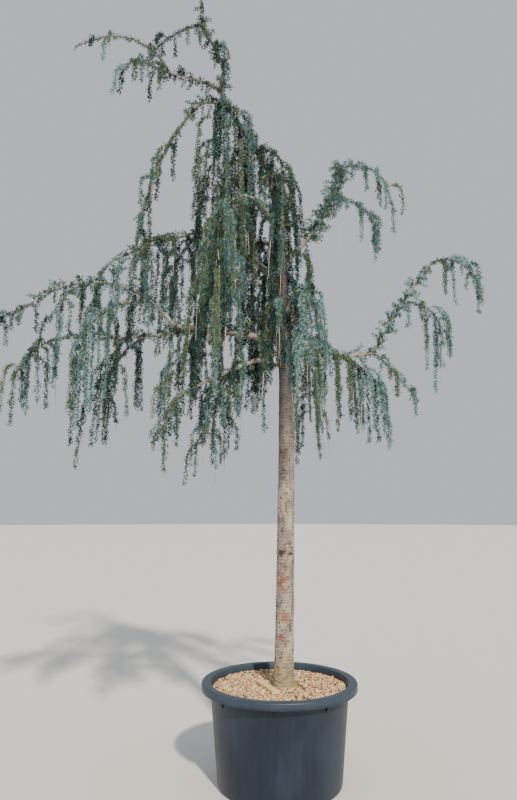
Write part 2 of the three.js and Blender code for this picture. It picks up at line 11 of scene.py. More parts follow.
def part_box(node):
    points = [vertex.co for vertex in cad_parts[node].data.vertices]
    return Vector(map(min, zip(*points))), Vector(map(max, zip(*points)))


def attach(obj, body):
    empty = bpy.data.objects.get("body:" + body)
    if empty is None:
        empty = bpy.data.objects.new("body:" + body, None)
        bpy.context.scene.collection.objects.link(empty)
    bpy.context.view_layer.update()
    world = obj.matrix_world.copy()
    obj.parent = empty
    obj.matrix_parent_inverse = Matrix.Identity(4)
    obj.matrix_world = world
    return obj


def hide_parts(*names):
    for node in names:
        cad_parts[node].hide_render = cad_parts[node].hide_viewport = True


bl_info = {
    "name": "Weeping Blue Atlas Cedar",
    "version": (1, 0, 0),
    "blender": (4, 5, 0),
    "location": "View3D > Sidebar > Cedar",
    "description": "A weeping blue atlas cedar in a nursery container, grown from its limb table",
    "category": "Add Mesh",
}

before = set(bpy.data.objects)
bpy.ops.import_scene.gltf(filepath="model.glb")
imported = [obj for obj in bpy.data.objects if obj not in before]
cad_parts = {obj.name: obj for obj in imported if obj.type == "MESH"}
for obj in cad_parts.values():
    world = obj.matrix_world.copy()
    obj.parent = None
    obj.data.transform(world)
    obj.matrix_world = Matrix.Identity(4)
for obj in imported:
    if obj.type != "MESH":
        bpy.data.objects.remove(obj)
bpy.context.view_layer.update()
POT_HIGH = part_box("pot")[1]
SOIL_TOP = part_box("soil")[1].z * 1000
FOLIAGE_NODES = sorted(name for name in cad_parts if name.startswith("foliage"))

MM = 0.001

# The photograph's own view: the eye's place in metres, its tilt in degrees and its lens in pixels.
FRAME_HEIGHT = 800
FOCAL_PIXELS = 622
EYE = (-0.121, -3.838, 1.529)
TILT_UP = 9.9

# Soft studio light: the air's colour and strength, then each lamp's place in metres, strength,
# spread in degrees and colour. The key stands where the photograph's sun stood.
AIR = ("#e3e9f1", 0.76)
LAMPS = (
    ("key", (3.2, -8.9, 7.4), 4.9, 3, "#fff3e2"),
    ("fill", (-6.0, -7.0, 5.0), 0.15, 40, "#e6efff"),
)

# Trunk, in millimetres: x, y, z and the radius there, over a root flare.
FLARE = 13
FLARE_HEIGHT = 70
TRUNK_ROUTE = [
    (25, 0, 508, 56), (36, 4, 1000, 54), (47, 10, 1580, 51), (54, 8, 2150, 47),
    (47, 0, 2540, 43), (34, -6, 2880, 39), (12, -4, 3240, 30), (-8, 4, 3560, 26),
    (-48, 8, 3750, 23), (-165, 6, 3960, 20), (-318, 0, 4205, 16), (-376, -4, 4360, 14),
    (-360, 0, 4520, 9), (-430, 6, 4695, 8), (-502, 8, 4840, 7), (-512, 8, 4935, 6),
]
TRUNK_STEPS, CURVE_SAMPLES, WALK_STEP = 150, 200, 30
# How deep the drawn trunk stands in the substrate, its rings below and above its middle, and the
# sides of the trunk and of a bough.
TRUNK_SUNK, LOWER_RINGS, UPPER_RINGS = 9, 230, 190
TRUNK_SIDES, BOUGH_SIDES = 48, 20
# A bough's rings: their step, and the shares of its radius at the root's first and tip's last ones.
BOUGH_STEP, ROOT_SWELL, TIP_ROUNDING = 10, (1.25, 1.16, 1.07), (0.97, 0.9, 0.7)
STUB = {"height": 2632, "azimuth": 336, "pitch": 44, "length": 250, "radius": 14}

# Marks on the bare trunk: height, azimuth, size in millimetres, strength and tint.
KNOTS = ((1266, 236, 24, 0.9, "#2b2321"), (1258, 308, 22, 0.9, "#2b2321"))
RUST_PATCHES = (
    (1098, 250, 40, 0.75, "#875036"), (1040, 262, 24, 0.6, "#8a573c"),
    (896, 274, 34, 0.7, "#8d553b"), (770, 256, 26, 0.55, "#8d5f43"),
    (1672, 290, 28, 0.5, "#895a41"), (1545, 282, 24, 0.4, "#895a41"),
    (1826, 246, 22, 0.4, "#815338"),
)
# The bark swells round a bough's root and a knot, as wide as these shares of their size, and round
# healed scars: how many, the lowest one's height, the step to the next, its spread and their width.
COLLAR_SHARE, KNOT_SHARE = 1.7, 0.7
SCARS, SCAR_LOWEST, SCAR_STEP, SCAR_SPREAD = 15, 640, 118, 60
SCAR_LEAST, SCAR_SPAN = 10, 7

# Container in millimetres: the radii of its wall, and the gussets under its rim.
FOOT_RADIUS, WALL_TOP_RADIUS = 352, 403
GUSSETS, GUSSET_TURN, GUSSET_WIDTH = 8, -7.7, 12
GUSSET_LOW, GUSSET_HIGH = (466, 5), (511, 30)
GUSSET_SINK = 4
POT_STEPS, SUBSTRATE_STEPS, SUBSTRATE_RINGS = 144, 180, 54

# Substrate in millimetres: lumps by height, width and layer of the noise, a mound round the trunk,
# and the trunk's own place, which chips keep clear of.
LUMPS = ((5, 95, 3), (2.5, 24, 8))
MOUND_X, MOUND_HEIGHT, MOUND_WIDTH = 27, 9, 120
TRUNK_FOOT_X = 26

# Bark chips in millimetres: length, width as a share of it and thickness; how much shorter every
# second one is, how far in or out each corner lies, and slope. Their tints, each with its share.
CHIP_LENGTH, CHIP_WIDTH, CHIP_THICKNESS = (7, 24), (0.35, 0.8), (1.6, 5)
CHIP_SMALL, CHIP_CORNER, CHIP_SLOPE = 0.6, (0.6, 1.15), 0.28
CHIP_TINTS = (
    ("chips_cream", "#f7e4c2", 0.24), ("chips_tan", "#eec998", 0.36),
    ("chips_rust", "#dcaa7e", 0.17), ("chips_brown", "#6b4f35", 0.23),
)

# Board offcut in metres: its size, its rounding, its cuts across, the half of its length that is
# sound between ragged ends, its lift, and the turn it lies at.
BOARD_SIZE = (0.262, 0.041, 0.0175)
BOARD_ROUNDING, BOARD_CUTS, BOARD_SOUND, BOARD_LIFT = 0.0012, 24, 0.118, 0.004
BOARD_TURN = -68

# The source's rule for shoots: the space a shoot keeps, its share of the stem, and its shape.
CORE = 5
WHORL = 31
STEM_SIZE = 0.85
SHOOT_FREE = 95
CLEARANCE = 4
OWN_CLOSENESS = 0.7
TRIES = 24
FIRST, SPAN = 0.08, 0.8
ASIDE, ASIDE_SPAN, TURN_SPAN = 25, 110, 30
RISE, FALL, SWAY = 28, -89, 5
ARCH, BARE_MOST = 120, 100
STEM_BARE_LEAST = 50

# The finer shoots between those, which only keep clear of the limbs.
FINE_TRIES, FINE_RADIUS = 6, 9
FINE_FIRST, FINE_SPAN = FIRST * 0.6, 0.9

# Steps between the rings of stems and shoots, and how far those of shoots and whips stray.
STEM_STEP, SHOOT_STEP = 22, 34
SHOOT_STRAY, WHIP_STRAY = 1.6, 1.2
# The whips' turn, rise, fall and bend.
WHIP_COURSE = (60, -74, -90, 0.4)
# Short twigs: steps along one, how much it nods at each, and the length and spacing of the ones on
# shoots and the length of the ones on limbs. Each third one on a limb also has tufts beside it.
TWIG_STEPS, TWIG_NOD = 4, 0.35
SIDE_LENGTH, SIDE_SPACING, LIMB_LENGTH = (24, 80), (52, 80), (28, 96)
TUFTED_EACH = 3
# Radii at root and tip in millimetres: stems, shoots, shoots' whips and whips by themselves; then
# the roots of the short twigs on shoots and on limbs, and their tip.
STEM_RADII, SHOOT_RADII = (6.5, 2.2), (2.6, 0.9)
SHOOT_WHIP_RADII, WHIP_RADII = (2.4, 1.2), (2.5, 1.2)
SIDE_TWIG, LIMB_TWIG, TWIG_TIP = 1.4, 1.9, 0.7

# Needle tints from the inner sprays to the outer: colour, share of the sprays and wax bloom.
# The darker tints give painted shade inside the crown, the paler ones painted light on its sunlit
# side.
TINTS = (
    ("needles_deep", "#0d2021", 0.21, 0.0),
    ("needles_teal", "#2b4f4b", 0.21, 0.0),
    ("needles_green", "#516f56", 0.13, 0.05),
    ("needles_straw", "#778767", 0.08, 0.1),
    ("needles_blue", "#4e7b7d", 0.2, 0.15),
    ("needles_silver", "#7ea6a6", 0.17, 0.25),
)
# What a spray's tint depends on: chance, how far out it is and how much it faces the sun. The
# last two paint shade on inner sprays and light on sprays that face the sun.
BY_CHANCE, BY_PLACE, BY_SUN = 0.56, 0.22, 0.22
SCORE_LEAST, SCORE_SPAN = 0.08, 0.78
CROWN_REACH, CROWN_TOP, SUNNY_SIDE = 900, 4900, (0.8, -0.6)
# The share of tufts in a neighbouring tint, the turn from one tuft or needle to the next and a
# full turn, both in radians, and the most needles that one mesh holds.
ODD_TUFTS = 0.3
SPIRAL, FULL_TURN = 2.4, 6.28
NEEDLES_A_MESH = 190000

# Shoots that end in a bare new whip: their share, and the shortest one that may. Then the long
# whips that hang by themselves: carrier, share of its line (a height on the trunk) and length.
WHIP_SHARE, WHIP_LEAST = 0.24, 220
WHIPS = (
    ("trunk", 3880, 520), ("trunk", 3420, 480), ("bough_right_high", 0.48, 290),
    ("right_high_fall", 0.08, 420), ("right_high_fall", 1, 260), ("right_high_tip", 1, 180),
    ("upper_left", 0.5, 380), ("upper_left", 0.8, 270), ("bough_left_outer", 0.8, 260),
    ("bough_left_outer", 0.3, 420), ("crown_left", 0.6, 480), ("crown_front", 0.5, 460),
    ("front_tip", 0.5, 440), ("front_side", 0.7, 420), ("front_right_side", 0.5, 380),
    ("bough_low_left", 0.7, 560), ("bough_low_left", 0.35, 500),
    ("bough_far_left_outer", 0.45, 420), ("bough_back", 0.7, 520), ("bough_back_left", 0.6, 560),
    ("right_tip", 1, 220), ("right_mid", 0.6, 330),
)

# Limbs that carry short twigs and tufts of their own: from what share on, and every how many mm.
DRESSED_LIMBS = {
    "trunk": (0.62, 10), "bough_top": (0.12, 13), "bough_upper_left": (0.1, 11),
    "bough_left_inner": (0.3, 26), "bough_left_outer": (0.05, 17),
    "bough_far_left_inner": (0.3, 26), "bough_far_left_outer": (0.08, 17),
    "bough_low_left": (0.1, 18), "bough_front_low": (0.3, 24), "bough_right_high": (0.3, 4),
    "bough_right_inner": (0.3, 24), "bough_right_outer": (0.04, 10), "bough_back": (0.25, 22),
    "bough_back_left": (0.25, 22), "bough_back_low": (0.25, 22), "bough_front": (0.25, 22),
    "bough_front_right": (0.25, 22),
}

# Boughs: carrier, place on it, azimuth, turn, rise, fall, length, thick, thin.
BOUGH_KEYS = ("on", "at", "azimuth", "turn", "rise", "fall", "length", "thick", "thin")
BOUGHS = {
    "bough_top": ("trunk", 4340, 183, 0, 24, 8, 440, 12, 8),
    "bough_upper_left": ("trunk", 4215, 186, 0, 38, -78, 360, 12, 8),
    "bough_left_inner": ("trunk", 2900, 170, 0, 53, 56, 610, 21, 15),
    "bough_left_outer": ("bough_left_inner", 0.96, 172, 8, -4, -26, 830, 13, 7),
    "bough_far_left_inner": ("trunk", 2560, 190, 0, 9, 2, 730, 22, 16),
    "bough_far_left_outer": ("bough_far_left_inner", 0.97, 184, 6, 59, -42, 970, 14, 6),
    "bough_low_left": ("bough_far_left_inner", 0.72, 166, 18, -6, 2, 900, 12, 7),
    "bough_front_low": ("trunk", 2500, 218, 0, -20, -31, 800, 17, 8),
    "bough_right_high": ("trunk", 3080, 352, 0, 38, 78, 790, 21, 10),
    "bough_right_inner": ("trunk", 2645, 10, 0, -42, 19, 660, 18, 12),
    "bough_right_outer": ("bough_right_inner", 0.97, 6, 0, 61, 53, 720, 11, 6),
    "bough_back": ("trunk", 2780, 80, 0, 34, -24, 800, 18, 8),
    "bough_back_left": ("trunk", 3180, 122, 0, 36, -24, 820, 18, 8),
    "bough_back_low": ("trunk", 2420, 130, 0, 14, -24, 640, 15, 8),
    "bough_front": ("trunk", 3260, 246, 0, 36, -30, 600, 16, 8),
    "bough_front_right": ("trunk", 2740, 280, 0, 20, -30, 560, 16, 8),
}

# Masses of foliage, named as their nodes without "foliage_": carrier, place on it, azimuth, turn,
# rise, fall, bend, length, bare share, shoots, their least and greatest drop, reach, and the draw
# that the source settled on.
MASS_KEYS = ("on", "at", "azimuth", "turn", "rise", "fall", "bend", "length", "bare", "shoots",
             "drop_least", "drop_most", "reach", "draw")
MASSES = {
    "leader": ("trunk", 1, 170, 0, 84, 80, 1, 240, 0.1, 0, 0, 0, 0, 0),
    "leader_left": ("trunk", 4850, 163, 8, 8, -45, 0.76, 500, 0.14, 3, 20, 70, 50, 0),
    "leader_right": ("trunk", 4700, 350, 0, 10, -80, 0.7, 200, 0.2, 1, 30, 60, 40, 0),
    "top_high": ("bough_top", 0.86, 196, -6, 68, -29, 0.8, 720, 0.16, 2, 10, 60, 40, 2),
    "top_tip": ("bough_top", 1, 229, 0, 14, -57, 0.8, 370, 0.1, 3, 50, 170, 50, 1),
    "upper_left": ("bough_upper_left", 1, 186, -10, -56, -79, 0.64, 1020, 0.02, 4, 160, 380, 50, 3),
    "crown_left": ("trunk", 4230, 232, 10, 14, -88, 0.16, 950, 0.14, 6, 250, 620, 50, 3),
    "crown_front": ("trunk", 4130, 274, -10, 20, -88, 0.2, 1000, 0.14, 6, 300, 650, 50, 2),
    "crown_back": ("trunk", 4080, 92, 20, 24, -88, 0.25, 1050, 0.16, 7, 300, 700, 60, 2),
    "shoulder": ("trunk", 3900, 20, -30, 30, -86, 0.4, 620, 0.14, 5, 160, 420, 80, 3),
    "neck_right": ("trunk", 3690, 296, 20, 30, -88, 0.22, 800, 0.14, 6, 250, 560, 50, 1),
    "neck_back": ("trunk", 3560, 95, -20, 24, -88, 0.35, 850, 0.16, 6, 250, 600, 90, 1),
    "front_tip": ("bough_front", 1, 226, 0, -30, -86, 0.4, 850, 0.05, 7, 250, 560, 80, 1),
    "front_side": ("bough_front", 0.55, 190, 20, 10, -86, 0.4, 850, 0.15, 7, 300, 650, 80, 2),
    "left_tip": ("bough_left_outer", 1, 180, 0, -40, -84, 0.5, 420, 0.05, 3, 160, 300, 60, 1),
    "left_mid": ("bough_left_outer", 0.5, 245, -10, -8, -84, 0.9, 640, 0.12, 5, 240, 520, 60, 0),
    "left_inner": ("bough_left_outer", 0.1, 143, 24, 14, -86, 0.7, 760, 0.12, 6, 240, 560, 80, 0),
    "far_left_tip": ("bough_far_left_outer", 1, 184, 0, -35, -20, 1, 290, 0.05, 3, 20, 100, 50, 0),
    "far_left_outer":
        ("bough_far_left_outer", 0.6, 209, 0, -16, -72, 0.8, 420, 0.1, 3, 110, 240, 50, 0),
    "far_left_mid":
        ("bough_far_left_outer", 0.2, 196, -16, 10, -86, 0.8, 760, 0.12, 6, 260, 600, 80, 0),
    "far_left_inner":
        ("bough_far_left_inner", 0.55, 215, -20, -6, -84, 0.8, 560, 0.12, 6, 180, 380, 70, 0),
    "low_left_tip": ("bough_low_left", 1, 184, 0, -10, -70, 0.9, 420, 0.05, 4, 240, 400, 60, 0),
    "low_left_mid": ("bough_low_left", 0.4, 143, 20, -4, -84, 0.8, 660, 0.12, 5, 240, 480, 80, 0),
    "front_low_tip": ("bough_front_low", 1, 212, 0, -26, -82, 0.7, 320, 0.05, 3, 80, 190, 60, 2),
    "front_low_side":
        ("bough_front_low", 0.35, 181, 20, -10, -86, 0.8, 420, 0.12, 5, 120, 300, 70, 1),
    "waist_left": ("trunk", 2990, 155, 20, 16, -88, 0.3, 760, 0.16, 7, 230, 490, 60, 1),
    "right_high_tip": ("bough_right_high", 1, 356, 0, 18, -84, 0.85, 480, 0.05, 3, 40, 160, 50, 0),
    "right_high_fall": ("bough_right_high", 0.7, 350, 0, 6, -70, 0.7, 460, 0.1, 3, 60, 180, 50, 0),
    "right_high_inner":
        ("bough_right_high", 0.16, 349, 30, 0, -86, 0.3, 420, 0.1, 3, 160, 300, 45, 0),
    "right_low": ("bough_right_inner", 0.4, 336, 14, -14, -64, 1, 520, 0.1, 7, 180, 420, 50, 0),
    "right_fall": ("bough_right_inner", 0.97, 350, 0, -46, -56, 1, 430, 0.05, 3, 20, 110, 50, 0),
    "right_mid": ("bough_right_outer", 0.55, 350, 20, 10, -80, 0.7, 460, 0.1, 4, 100, 360, 50, 0),
    "right_tip": ("bough_right_outer", 1, 6, -10, 48, -66, 0.7, 520, 0.05, 4, 60, 200, 60, 0),
    "back_tip": ("bough_back", 1, 66, 0, -20, -86, 0.6, 760, 0.05, 6, 260, 560, 90, 0),
    "back_side": ("bough_back", 0.45, 40, 40, 8, -86, 0.3, 700, 0.12, 6, 260, 520, 60, 3),
    "back_left_tip": ("bough_back_left", 1, 124, 0, -20, -86, 0.6, 800, 0.05, 6, 260, 600, 90, 1),
    "back_left_side": ("bough_back_left", 0.45, 84, 30, 4, -86, 0.5, 720, 0.12, 6, 260, 560, 90, 0),
    "back_low": ("bough_back_low", 1, 130, 0, -24, -86, 0.5, 500, 0.05, 5, 160, 340, 90, 0),
    "front_right_tip":
        ("bough_front_right", 1, 284, 0, -24, -86, 0.4, 480, 0.05, 5, 120, 300, 50, 0),
    "front_right_side":
        ("bough_front_right", 0.36, 224, 20, 10, -86, 0.3, 500, 0.12, 5, 180, 380, 50, 1),
}


def linear(code):
    """An sRGB hex colour as linear red, green and blue."""
    shares = [int(code[i:i + 2], 16) / 255 for i in (1, 3, 5)]
    return tuple(s / 12.92 if s <= 0.04045 else ((s + 0.055) / 1.055) ** 2.4 for s in shares)


def opaque(colour):
    """A colour with its alpha."""
    return (*colour, 1.0)


# ---------------------------------------------------------------- growth, in millimetres

def dice(seed):
    """A repeatable stream of numbers from 0 to 1, the same as the source's."""
    state = seed

    def roll():
        nonlocal state
        state = (1664525 * state + 1013904223) % 4294967296
        return state / 4294967296
    return roll


def heading(azimuth, pitch):
    """The direction of an azimuth and a pitch in degrees."""
    a, p = math.radians(azimuth), math.radians(pitch)
    return np.array((math.cos(a) * math.cos(p), math.sin(a) * math.cos(p), math.sin(p)))


def walk(start, azimuth, turn, rise, fall, bend, length):
    """The centre line of a limb or shoot, in short equal steps from start."""
    steps = max(2, math.floor(length / WALK_STEP + 0.5))
    points = [np.asarray(start, float)]
    for i in range(steps):
        share = (i + 0.5) / steps
        pitch = rise + (fall - rise) * min(1, share / bend)
        points.append(points[-1] + heading(azimuth + turn * share, pitch) * (length / steps))
    return np.array(points)


def along(points, share):
    """Places at given shares of the way along evenly stepped points."""
    place = np.clip(share, 0, 1) * (len(points) - 1)
    i = np.minimum(np.floor(place).astype(int), len(points) - 2)
    part = np.asarray(place - i)[..., None]
    return points[i] * (1 - part) + points[i + 1] * part


def unit(vectors):
    """Vectors at a length of one."""
    return vectors / np.maximum(np.linalg.norm(vectors, axis=-1, keepdims=True), 1e-9)


def spaced_curve(route, count):
    """count equal steps along a centripetal Catmull-Rom curve through the route's points."""
    route = np.asarray(route, float)
    route = np.vstack([2 * route[0] - route[1], route, 2 * route[-1] - route[-2]])
    spans = len(route) - 3

    def point(share):
        i = min(int(share * spans), spans - 1)
        t = share * spans - i
        p0, p1, p2, p3 = route[i:i + 4]
        d0, d1, d2 = (max(np.linalg.norm(b - a), 1e-8) ** 0.5
                      for a, b in ((p0, p1), (p1, p2), (p2, p3)))
        t1 = ((p1 - p0) / d0 - (p2 - p0) / (d0 + d1) + (p2 - p1) / d1) * d1
        t2 = ((p2 - p1) / d1 - (p3 - p1) / (d1 + d2) + (p3 - p2) / d2) * d1
        return (p1 + t1 * t + (-3 * p1 + 3 * p2 - 2 * t1 - t2) * t ** 2
                + (2 * p1 - 2 * p2 + t1 + t2) * t ** 3)

    shares = np.linspace(0, 1, CURVE_SAMPLES + 1)
    dense = np.array([point(s) for s in shares])
    reached = np.concatenate([[0], np.cumsum(np.linalg.norm(np.diff(dense, axis=0), axis=1))])
    even = np.interp(np.linspace(0, reached[-1], count + 1), reached, shares)
    return np.array([point(s) for s in even])


TRUNK_LINE = spaced_curve([row[:3] for row in TRUNK_ROUTE], TRUNK_STEPS)


def trunk_radius(height):
    """The trunk's radius at a height, with its root flare."""
    heights, radii = [row[2] for row in TRUNK_ROUTE], [row[3] for row in TRUNK_ROUTE]
    flare = FLARE * math.exp(-(height - SOIL_TOP) / FLARE_HEIGHT)
    return float(np.interp(height, heights, radii)) + flare


def share_at_height(height):
    """The share of the trunk's line where it comes up to a height."""
    return int(np.argmax(TRUNK_LINE[:, 2] >= height)) / (len(TRUNK_LINE) - 1)


def on_bark(height, azimuth):
    """The place on the trunk's surface at a height and on the side of an azimuth."""
    return Vector(along(TRUNK_LINE, share_at_height(height))
                  + heading(azimuth, 0) * trunk_radius(height))


def start_on(limbs, on, at):
    """Where a bough or a stem leaves its carrier: a height on the trunk or a share of its line."""
    return along(limbs[on]["line"], share_at_height(at) if on == "trunk" and at > 1 else at)


def all_limbs():
    """Every limb's line and its radius at a share of that line."""
    limbs = {"trunk": {"line": TRUNK_LINE, "on": None,
                       "radius": lambda share: trunk_radius(along(TRUNK_LINE, share)[2])}}
    for name, row in BOUGHS.items():
        b = dict(zip(BOUGH_KEYS, row))
        line = walk(start_on(limbs, b["on"], b["at"]), b["azimuth"], b["turn"], b["rise"],
                    b["fall"], 1, b["length"])
        limbs[name] = {
            "line": line, "on": b["on"],
            "radius": lambda share, b=b: b["thick"] + (b["thin"] - b["thick"]) * share,
        }
    root = along(TRUNK_LINE, share_at_height(STUB["height"]))
    limbs["stub"] = {
        "line": walk(root, STUB["azimuth"], 0, STUB["pitch"], STUB["pitch"], 1, STUB["length"]),
        "on": "trunk", "radius": lambda share: STUB["radius"],
    }
    return limbs


def balls(points, radius_at):
    """Balls that fill a limb's or a shoot's space: their centres and radii."""
    count = 2 * (len(points) - 1)
    shares = np.arange(count + 1) / count
    return along(points, shares), np.array([radius_at(s) for s in shares])


def apart(mine, radii, others, other_radii, closeness=1.0):
    """For each of my balls, whether it keeps clear of all the others."""
    if not len(others):
        return np.ones(len(mine), bool)
    reach = radii.max() + other_radii.max() + CLEARANCE
    near = np.all((others > mine.min(0) - reach) & (others < mine.max(0) + reach), axis=1)
    gaps = np.linalg.norm(mine[:, None] - others[near][None], axis=2)
    need = (radii[:, None] + other_radii[near][None]) * closeness + CLEARANCE
    return np.all(gaps > need, axis=1)


def shoot_from(stem, share, side, roll, mass):
    """One weeping shoot of a mass: it arches out of the stem and hangs."""
    start = along(stem, share)
    ahead = along(stem, share + 0.04) - start
    heads = math.degrees(math.atan2(ahead[1], ahead[0]))
    drop = mass["drop_least"] + (mass["drop_most"] - mass["drop_least"]) * roll()
    spread = mass["reach"] * (0.5 + roll())
    length = ARCH + drop
    azimuth = heads + side * (ASIDE + ASIDE_SPAN * roll())
    turn = TURN_SPAN * (roll() - 0.5)
    fall = FALL + SWAY * roll()
    line = walk(start, azimuth, turn, RISE, fall, min(0.9, spread * 2 / length), length)
    return {"line": line, "length": length, "bare": min(spread, BARE_MOST)}


def grow(infill):
    """Grows every mass by the source's rule, then infill times as many finer shoots between those.
    Returns the limbs, the stems and the shoots."""
    limbs = all_limbs()
    limb_at, limb_radius = (np.concatenate(parts) for parts in zip(
        *(balls(limb["line"], limb["radius"]) for limb in limbs.values())))
    taken_at, taken_radius = np.empty((0, 3)), np.empty(0)
    stems, shoots = [], []
    for index, (name, row) in enumerate(MASSES.items()):
        mass = dict(zip(MASS_KEYS, row))
        roll = dice(1000 + index + 100 * mass["draw"])
        stem = walk(start_on(limbs, mass["on"], mass["at"]), mass["azimuth"], mass["turn"],
                    mass["rise"], mass["fall"], mass["bend"], mass["length"])
        stems.append({"mass": name, "line": stem, "length": mass["length"],
                      "bare": max(mass["bare"] * mass["length"], STEM_BARE_LEAST)})
        own_at, own_radius = balls(
            stem, lambda s: CORE + 2 if s < mass["bare"] else WHORL * STEM_SIZE)
        roll()  # the source turns the stem's whorls by this draw
        for i in range(mass["shoots"]):
            for attempt in range(TRIES):
                share = FIRST + SPAN * ((i + roll()) / mass["shoots"])
                side = 1 if (i + attempt) % 2 else -1
                shoot = shoot_from(stem, share, side, roll, mass)
                bare = shoot["bare"] / shoot["length"]
                at, radius = balls(shoot["line"], lambda s: CORE + 2 if s < bare else WHORL)
                rooted = np.linalg.norm(at - shoot["line"][0], axis=1) < SHOOT_FREE
                free = (
                    apart(at, radius, taken_at, taken_radius)
                    & (rooted | apart(at, radius, limb_at, limb_radius))
                    & (rooted | apart(at, radius, own_at, own_radius, OWN_CLOSENESS)))
                if free.all():
                    roll()  # and the shoot's whorls by this one
                    own_at = np.vstack([own_at, at])
                    own_radius = np.concatenate([own_radius, radius])
                    shoots.append(shoot)
                    break
        taken_at = np.vstack([taken_at, own_at])
        taken_radius = np.concatenate([taken_radius, own_radius])
        between = dice(90001 + 17 * index)
        extra = round(infill * mass["shoots"])
        for i in range(extra):
            for attempt in range(FINE_TRIES):
                share = FINE_FIRST + FINE_SPAN * ((i + between()) / extra)
                side = 1 if (i + attempt) % 2 else -1
                shoot = shoot_from(stem, share, side, between, mass)
                at, radius = balls(shoot["line"], lambda s: FINE_RADIUS)
                rooted = np.linalg.norm(at - shoot["line"][0], axis=1) < SHOOT_FREE
                if (rooted | apart(at, radius, limb_at, limb_radius)).all():
                    shoots.append(shoot)
                    break
    return limbs, stems, shoots


# ---------------------------------------------------------------- meshes

def placed(name, data, place=(0, 0, 0), turn=(0, 0, 0)):
    """Links a new object into the scene."""
    made = bpy.data.objects.new(name, data)
    made.location, made.rotation_euler = place, turn
    bpy.context.scene.collection.objects.link(made)
    return made


def finish_piece(name, mesh, material, replaced=(), smooth=True):
    """Puts a finished mesh into the scene as a piece of the tree that stands for CAD nodes."""
    piece = placed(name, mesh)
    mesh.materials.append(material)
    mesh.shade_smooth() if smooth else mesh.shade_flat()
    if replaced:
        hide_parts(*replaced)
    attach(piece, "root")
    return piece


def mesh_of(bm, name):
    """A finished mesh with its faces turned outwards."""
    bmesh.ops.recalc_face_normals(bm, faces=bm.faces)
    mesh = bpy.data.meshes.new(name)
    bm.to_mesh(mesh)
    bm.free()
    return mesh


def joined_mesh(name, points, corners, sides):
    """Many small faces of the same number of sides as one mesh, from arrays in millimetres."""
    mesh = bpy.data.meshes.new(name)
    mesh.vertices.add(len(points))
    mesh.vertices.foreach_set("co", (points * MM).astype(np.float32).ravel())
    mesh.loops.add(corners.size)
    mesh.loops.foreach_set("vertex_index", corners.astype(np.int32).ravel())
    mesh.polygons.add(corners.size // sides)
    mesh.polygons.foreach_set("loop_start", np.arange(0, corners.size, sides, dtype=np.int32))
    mesh.update(calc_edges=True)
    return mesh


def spun(section, steps):
    """A closed solid spun round the upright axis from a half section in millimetres."""
    bm = bmesh.new()
    rail = [bm.verts.new((r * MM, 0, z * MM)) for r, z in section]
    edges = [bm.edges.new(pair) for pair in zip(rail, rail[1:])]
    bmesh.ops.spin(bm, geom=rail + edges, cent=(0, 0, 0), axis=(0, 0, 1), dvec=(0, 0, 0),
                   angle=2 * math.pi, steps=steps, use_merge=True, use_duplicate=False)
    bmesh.ops.remove_doubles(bm, verts=bm.verts, dist=1e-6)
    return bm


def carried_frames(line):
    """Forward, across and beside directions at each point of a line, carried on without a twist."""
    forward = unit(np.gradient(line, axis=0))
    across = np.array((0.37, 0.86, 0.35))
    rows = []
    for ahead in forward:
        across = unit(across - ahead * np.dot(across, ahead))
        rows.append(across)
    rows = np.array(rows)
    return forward, rows, np.cross(rows, forward)


def limb_bmesh(line, radii, sides):
    """A closed round limb in millimetres: one ring extruded along the line."""
    forward, across, beside = carried_frames(line)
    stations = [
        Matrix([(u[i] * r, v[i] * r, f[i] * r, at[i]) for i in range(3)] + [(0, 0, 0, 1)])
        for at, f, u, v, r in zip(line, forward, across, beside, radii)]
    bm = bmesh.new()
    ring = bmesh.ops.create_circle(bm, cap_ends=False, radius=1, segments=sides)["verts"]
    bmesh.ops.transform(bm, matrix=stations[0], verts=ring)
    edges = bm.edges[:]
    for before, now in zip(stations, stations[1:]):
        grown = bmesh.ops.extrude_edge_only(bm, edges=edges)["geom"]
        ring = [part for part in grown if isinstance(part, bmesh.types.BMVert)]
        new = set(ring)
        edges = [part for part in grown if isinstance(part, bmesh.types.BMEdge)
                 and part.verts[0] in new and part.verts[1] in new]
        bmesh.ops.transform(bm, matrix=now @ before.inverted(), verts=ring)
    bmesh.ops.holes_fill(bm, edges=bm.edges, sides=0)
    bmesh.ops.recalc_face_normals(bm, faces=bm.faces)
    return bm


def bumps(point, *size):
    """Noise from -1 to 1 with bumps of a size along each axis."""
    return noise.noise(Vector([c / side for c, side in zip(point, size)]))


def bark_relief(bm, amount, collars=()):
    """Fine plates, cross cracks and swellings where limbs leave, along each vertex's normal."""
    bm.normal_update()
    moves = []
    for vert in bm.verts:
        plates = bumps(vert.co, 26, 26, 15)
        rings = bumps(vert.co, 70, 70, 7) * 0.9
        swell = bumps(vert.co, 110, 110, 160) * 1.6
        cracks = -max(0.0, abs(bumps(vert.co, 12, 12, 30)) - 0.28) * 4
        move = amount * (plates + rings + swell + cracks)
        for at, size in collars:
            away = (vert.co - at).length
            if away < 3 * size:
                move += size * 0.22 * math.exp(-(away / size) ** 2)
        moves.append(vert.normal * move)
    for vert, move in zip(bm.verts, moves):
        vert.co += move


def limb_piece(name, line, radii, sides, material, replaced=(), relief=0.0, collars=()):
    """A limb, with bark relief if it has any, as a finished piece; lengths in millimetres."""
    bm = limb_bmesh(line, radii, sides)
    if relief:
        bark_relief(bm, relief, collars)
    bmesh.ops.scale(bm, vec=(MM, MM, MM), verts=bm.verts)
    finish_piece(name, mesh_of(bm, name), material, replaced)


def tapered(line, radii):
    """A twig's line and its radius at each point of it, from the radii at its root and tip."""
    return line, np.linspace(*radii, len(line))


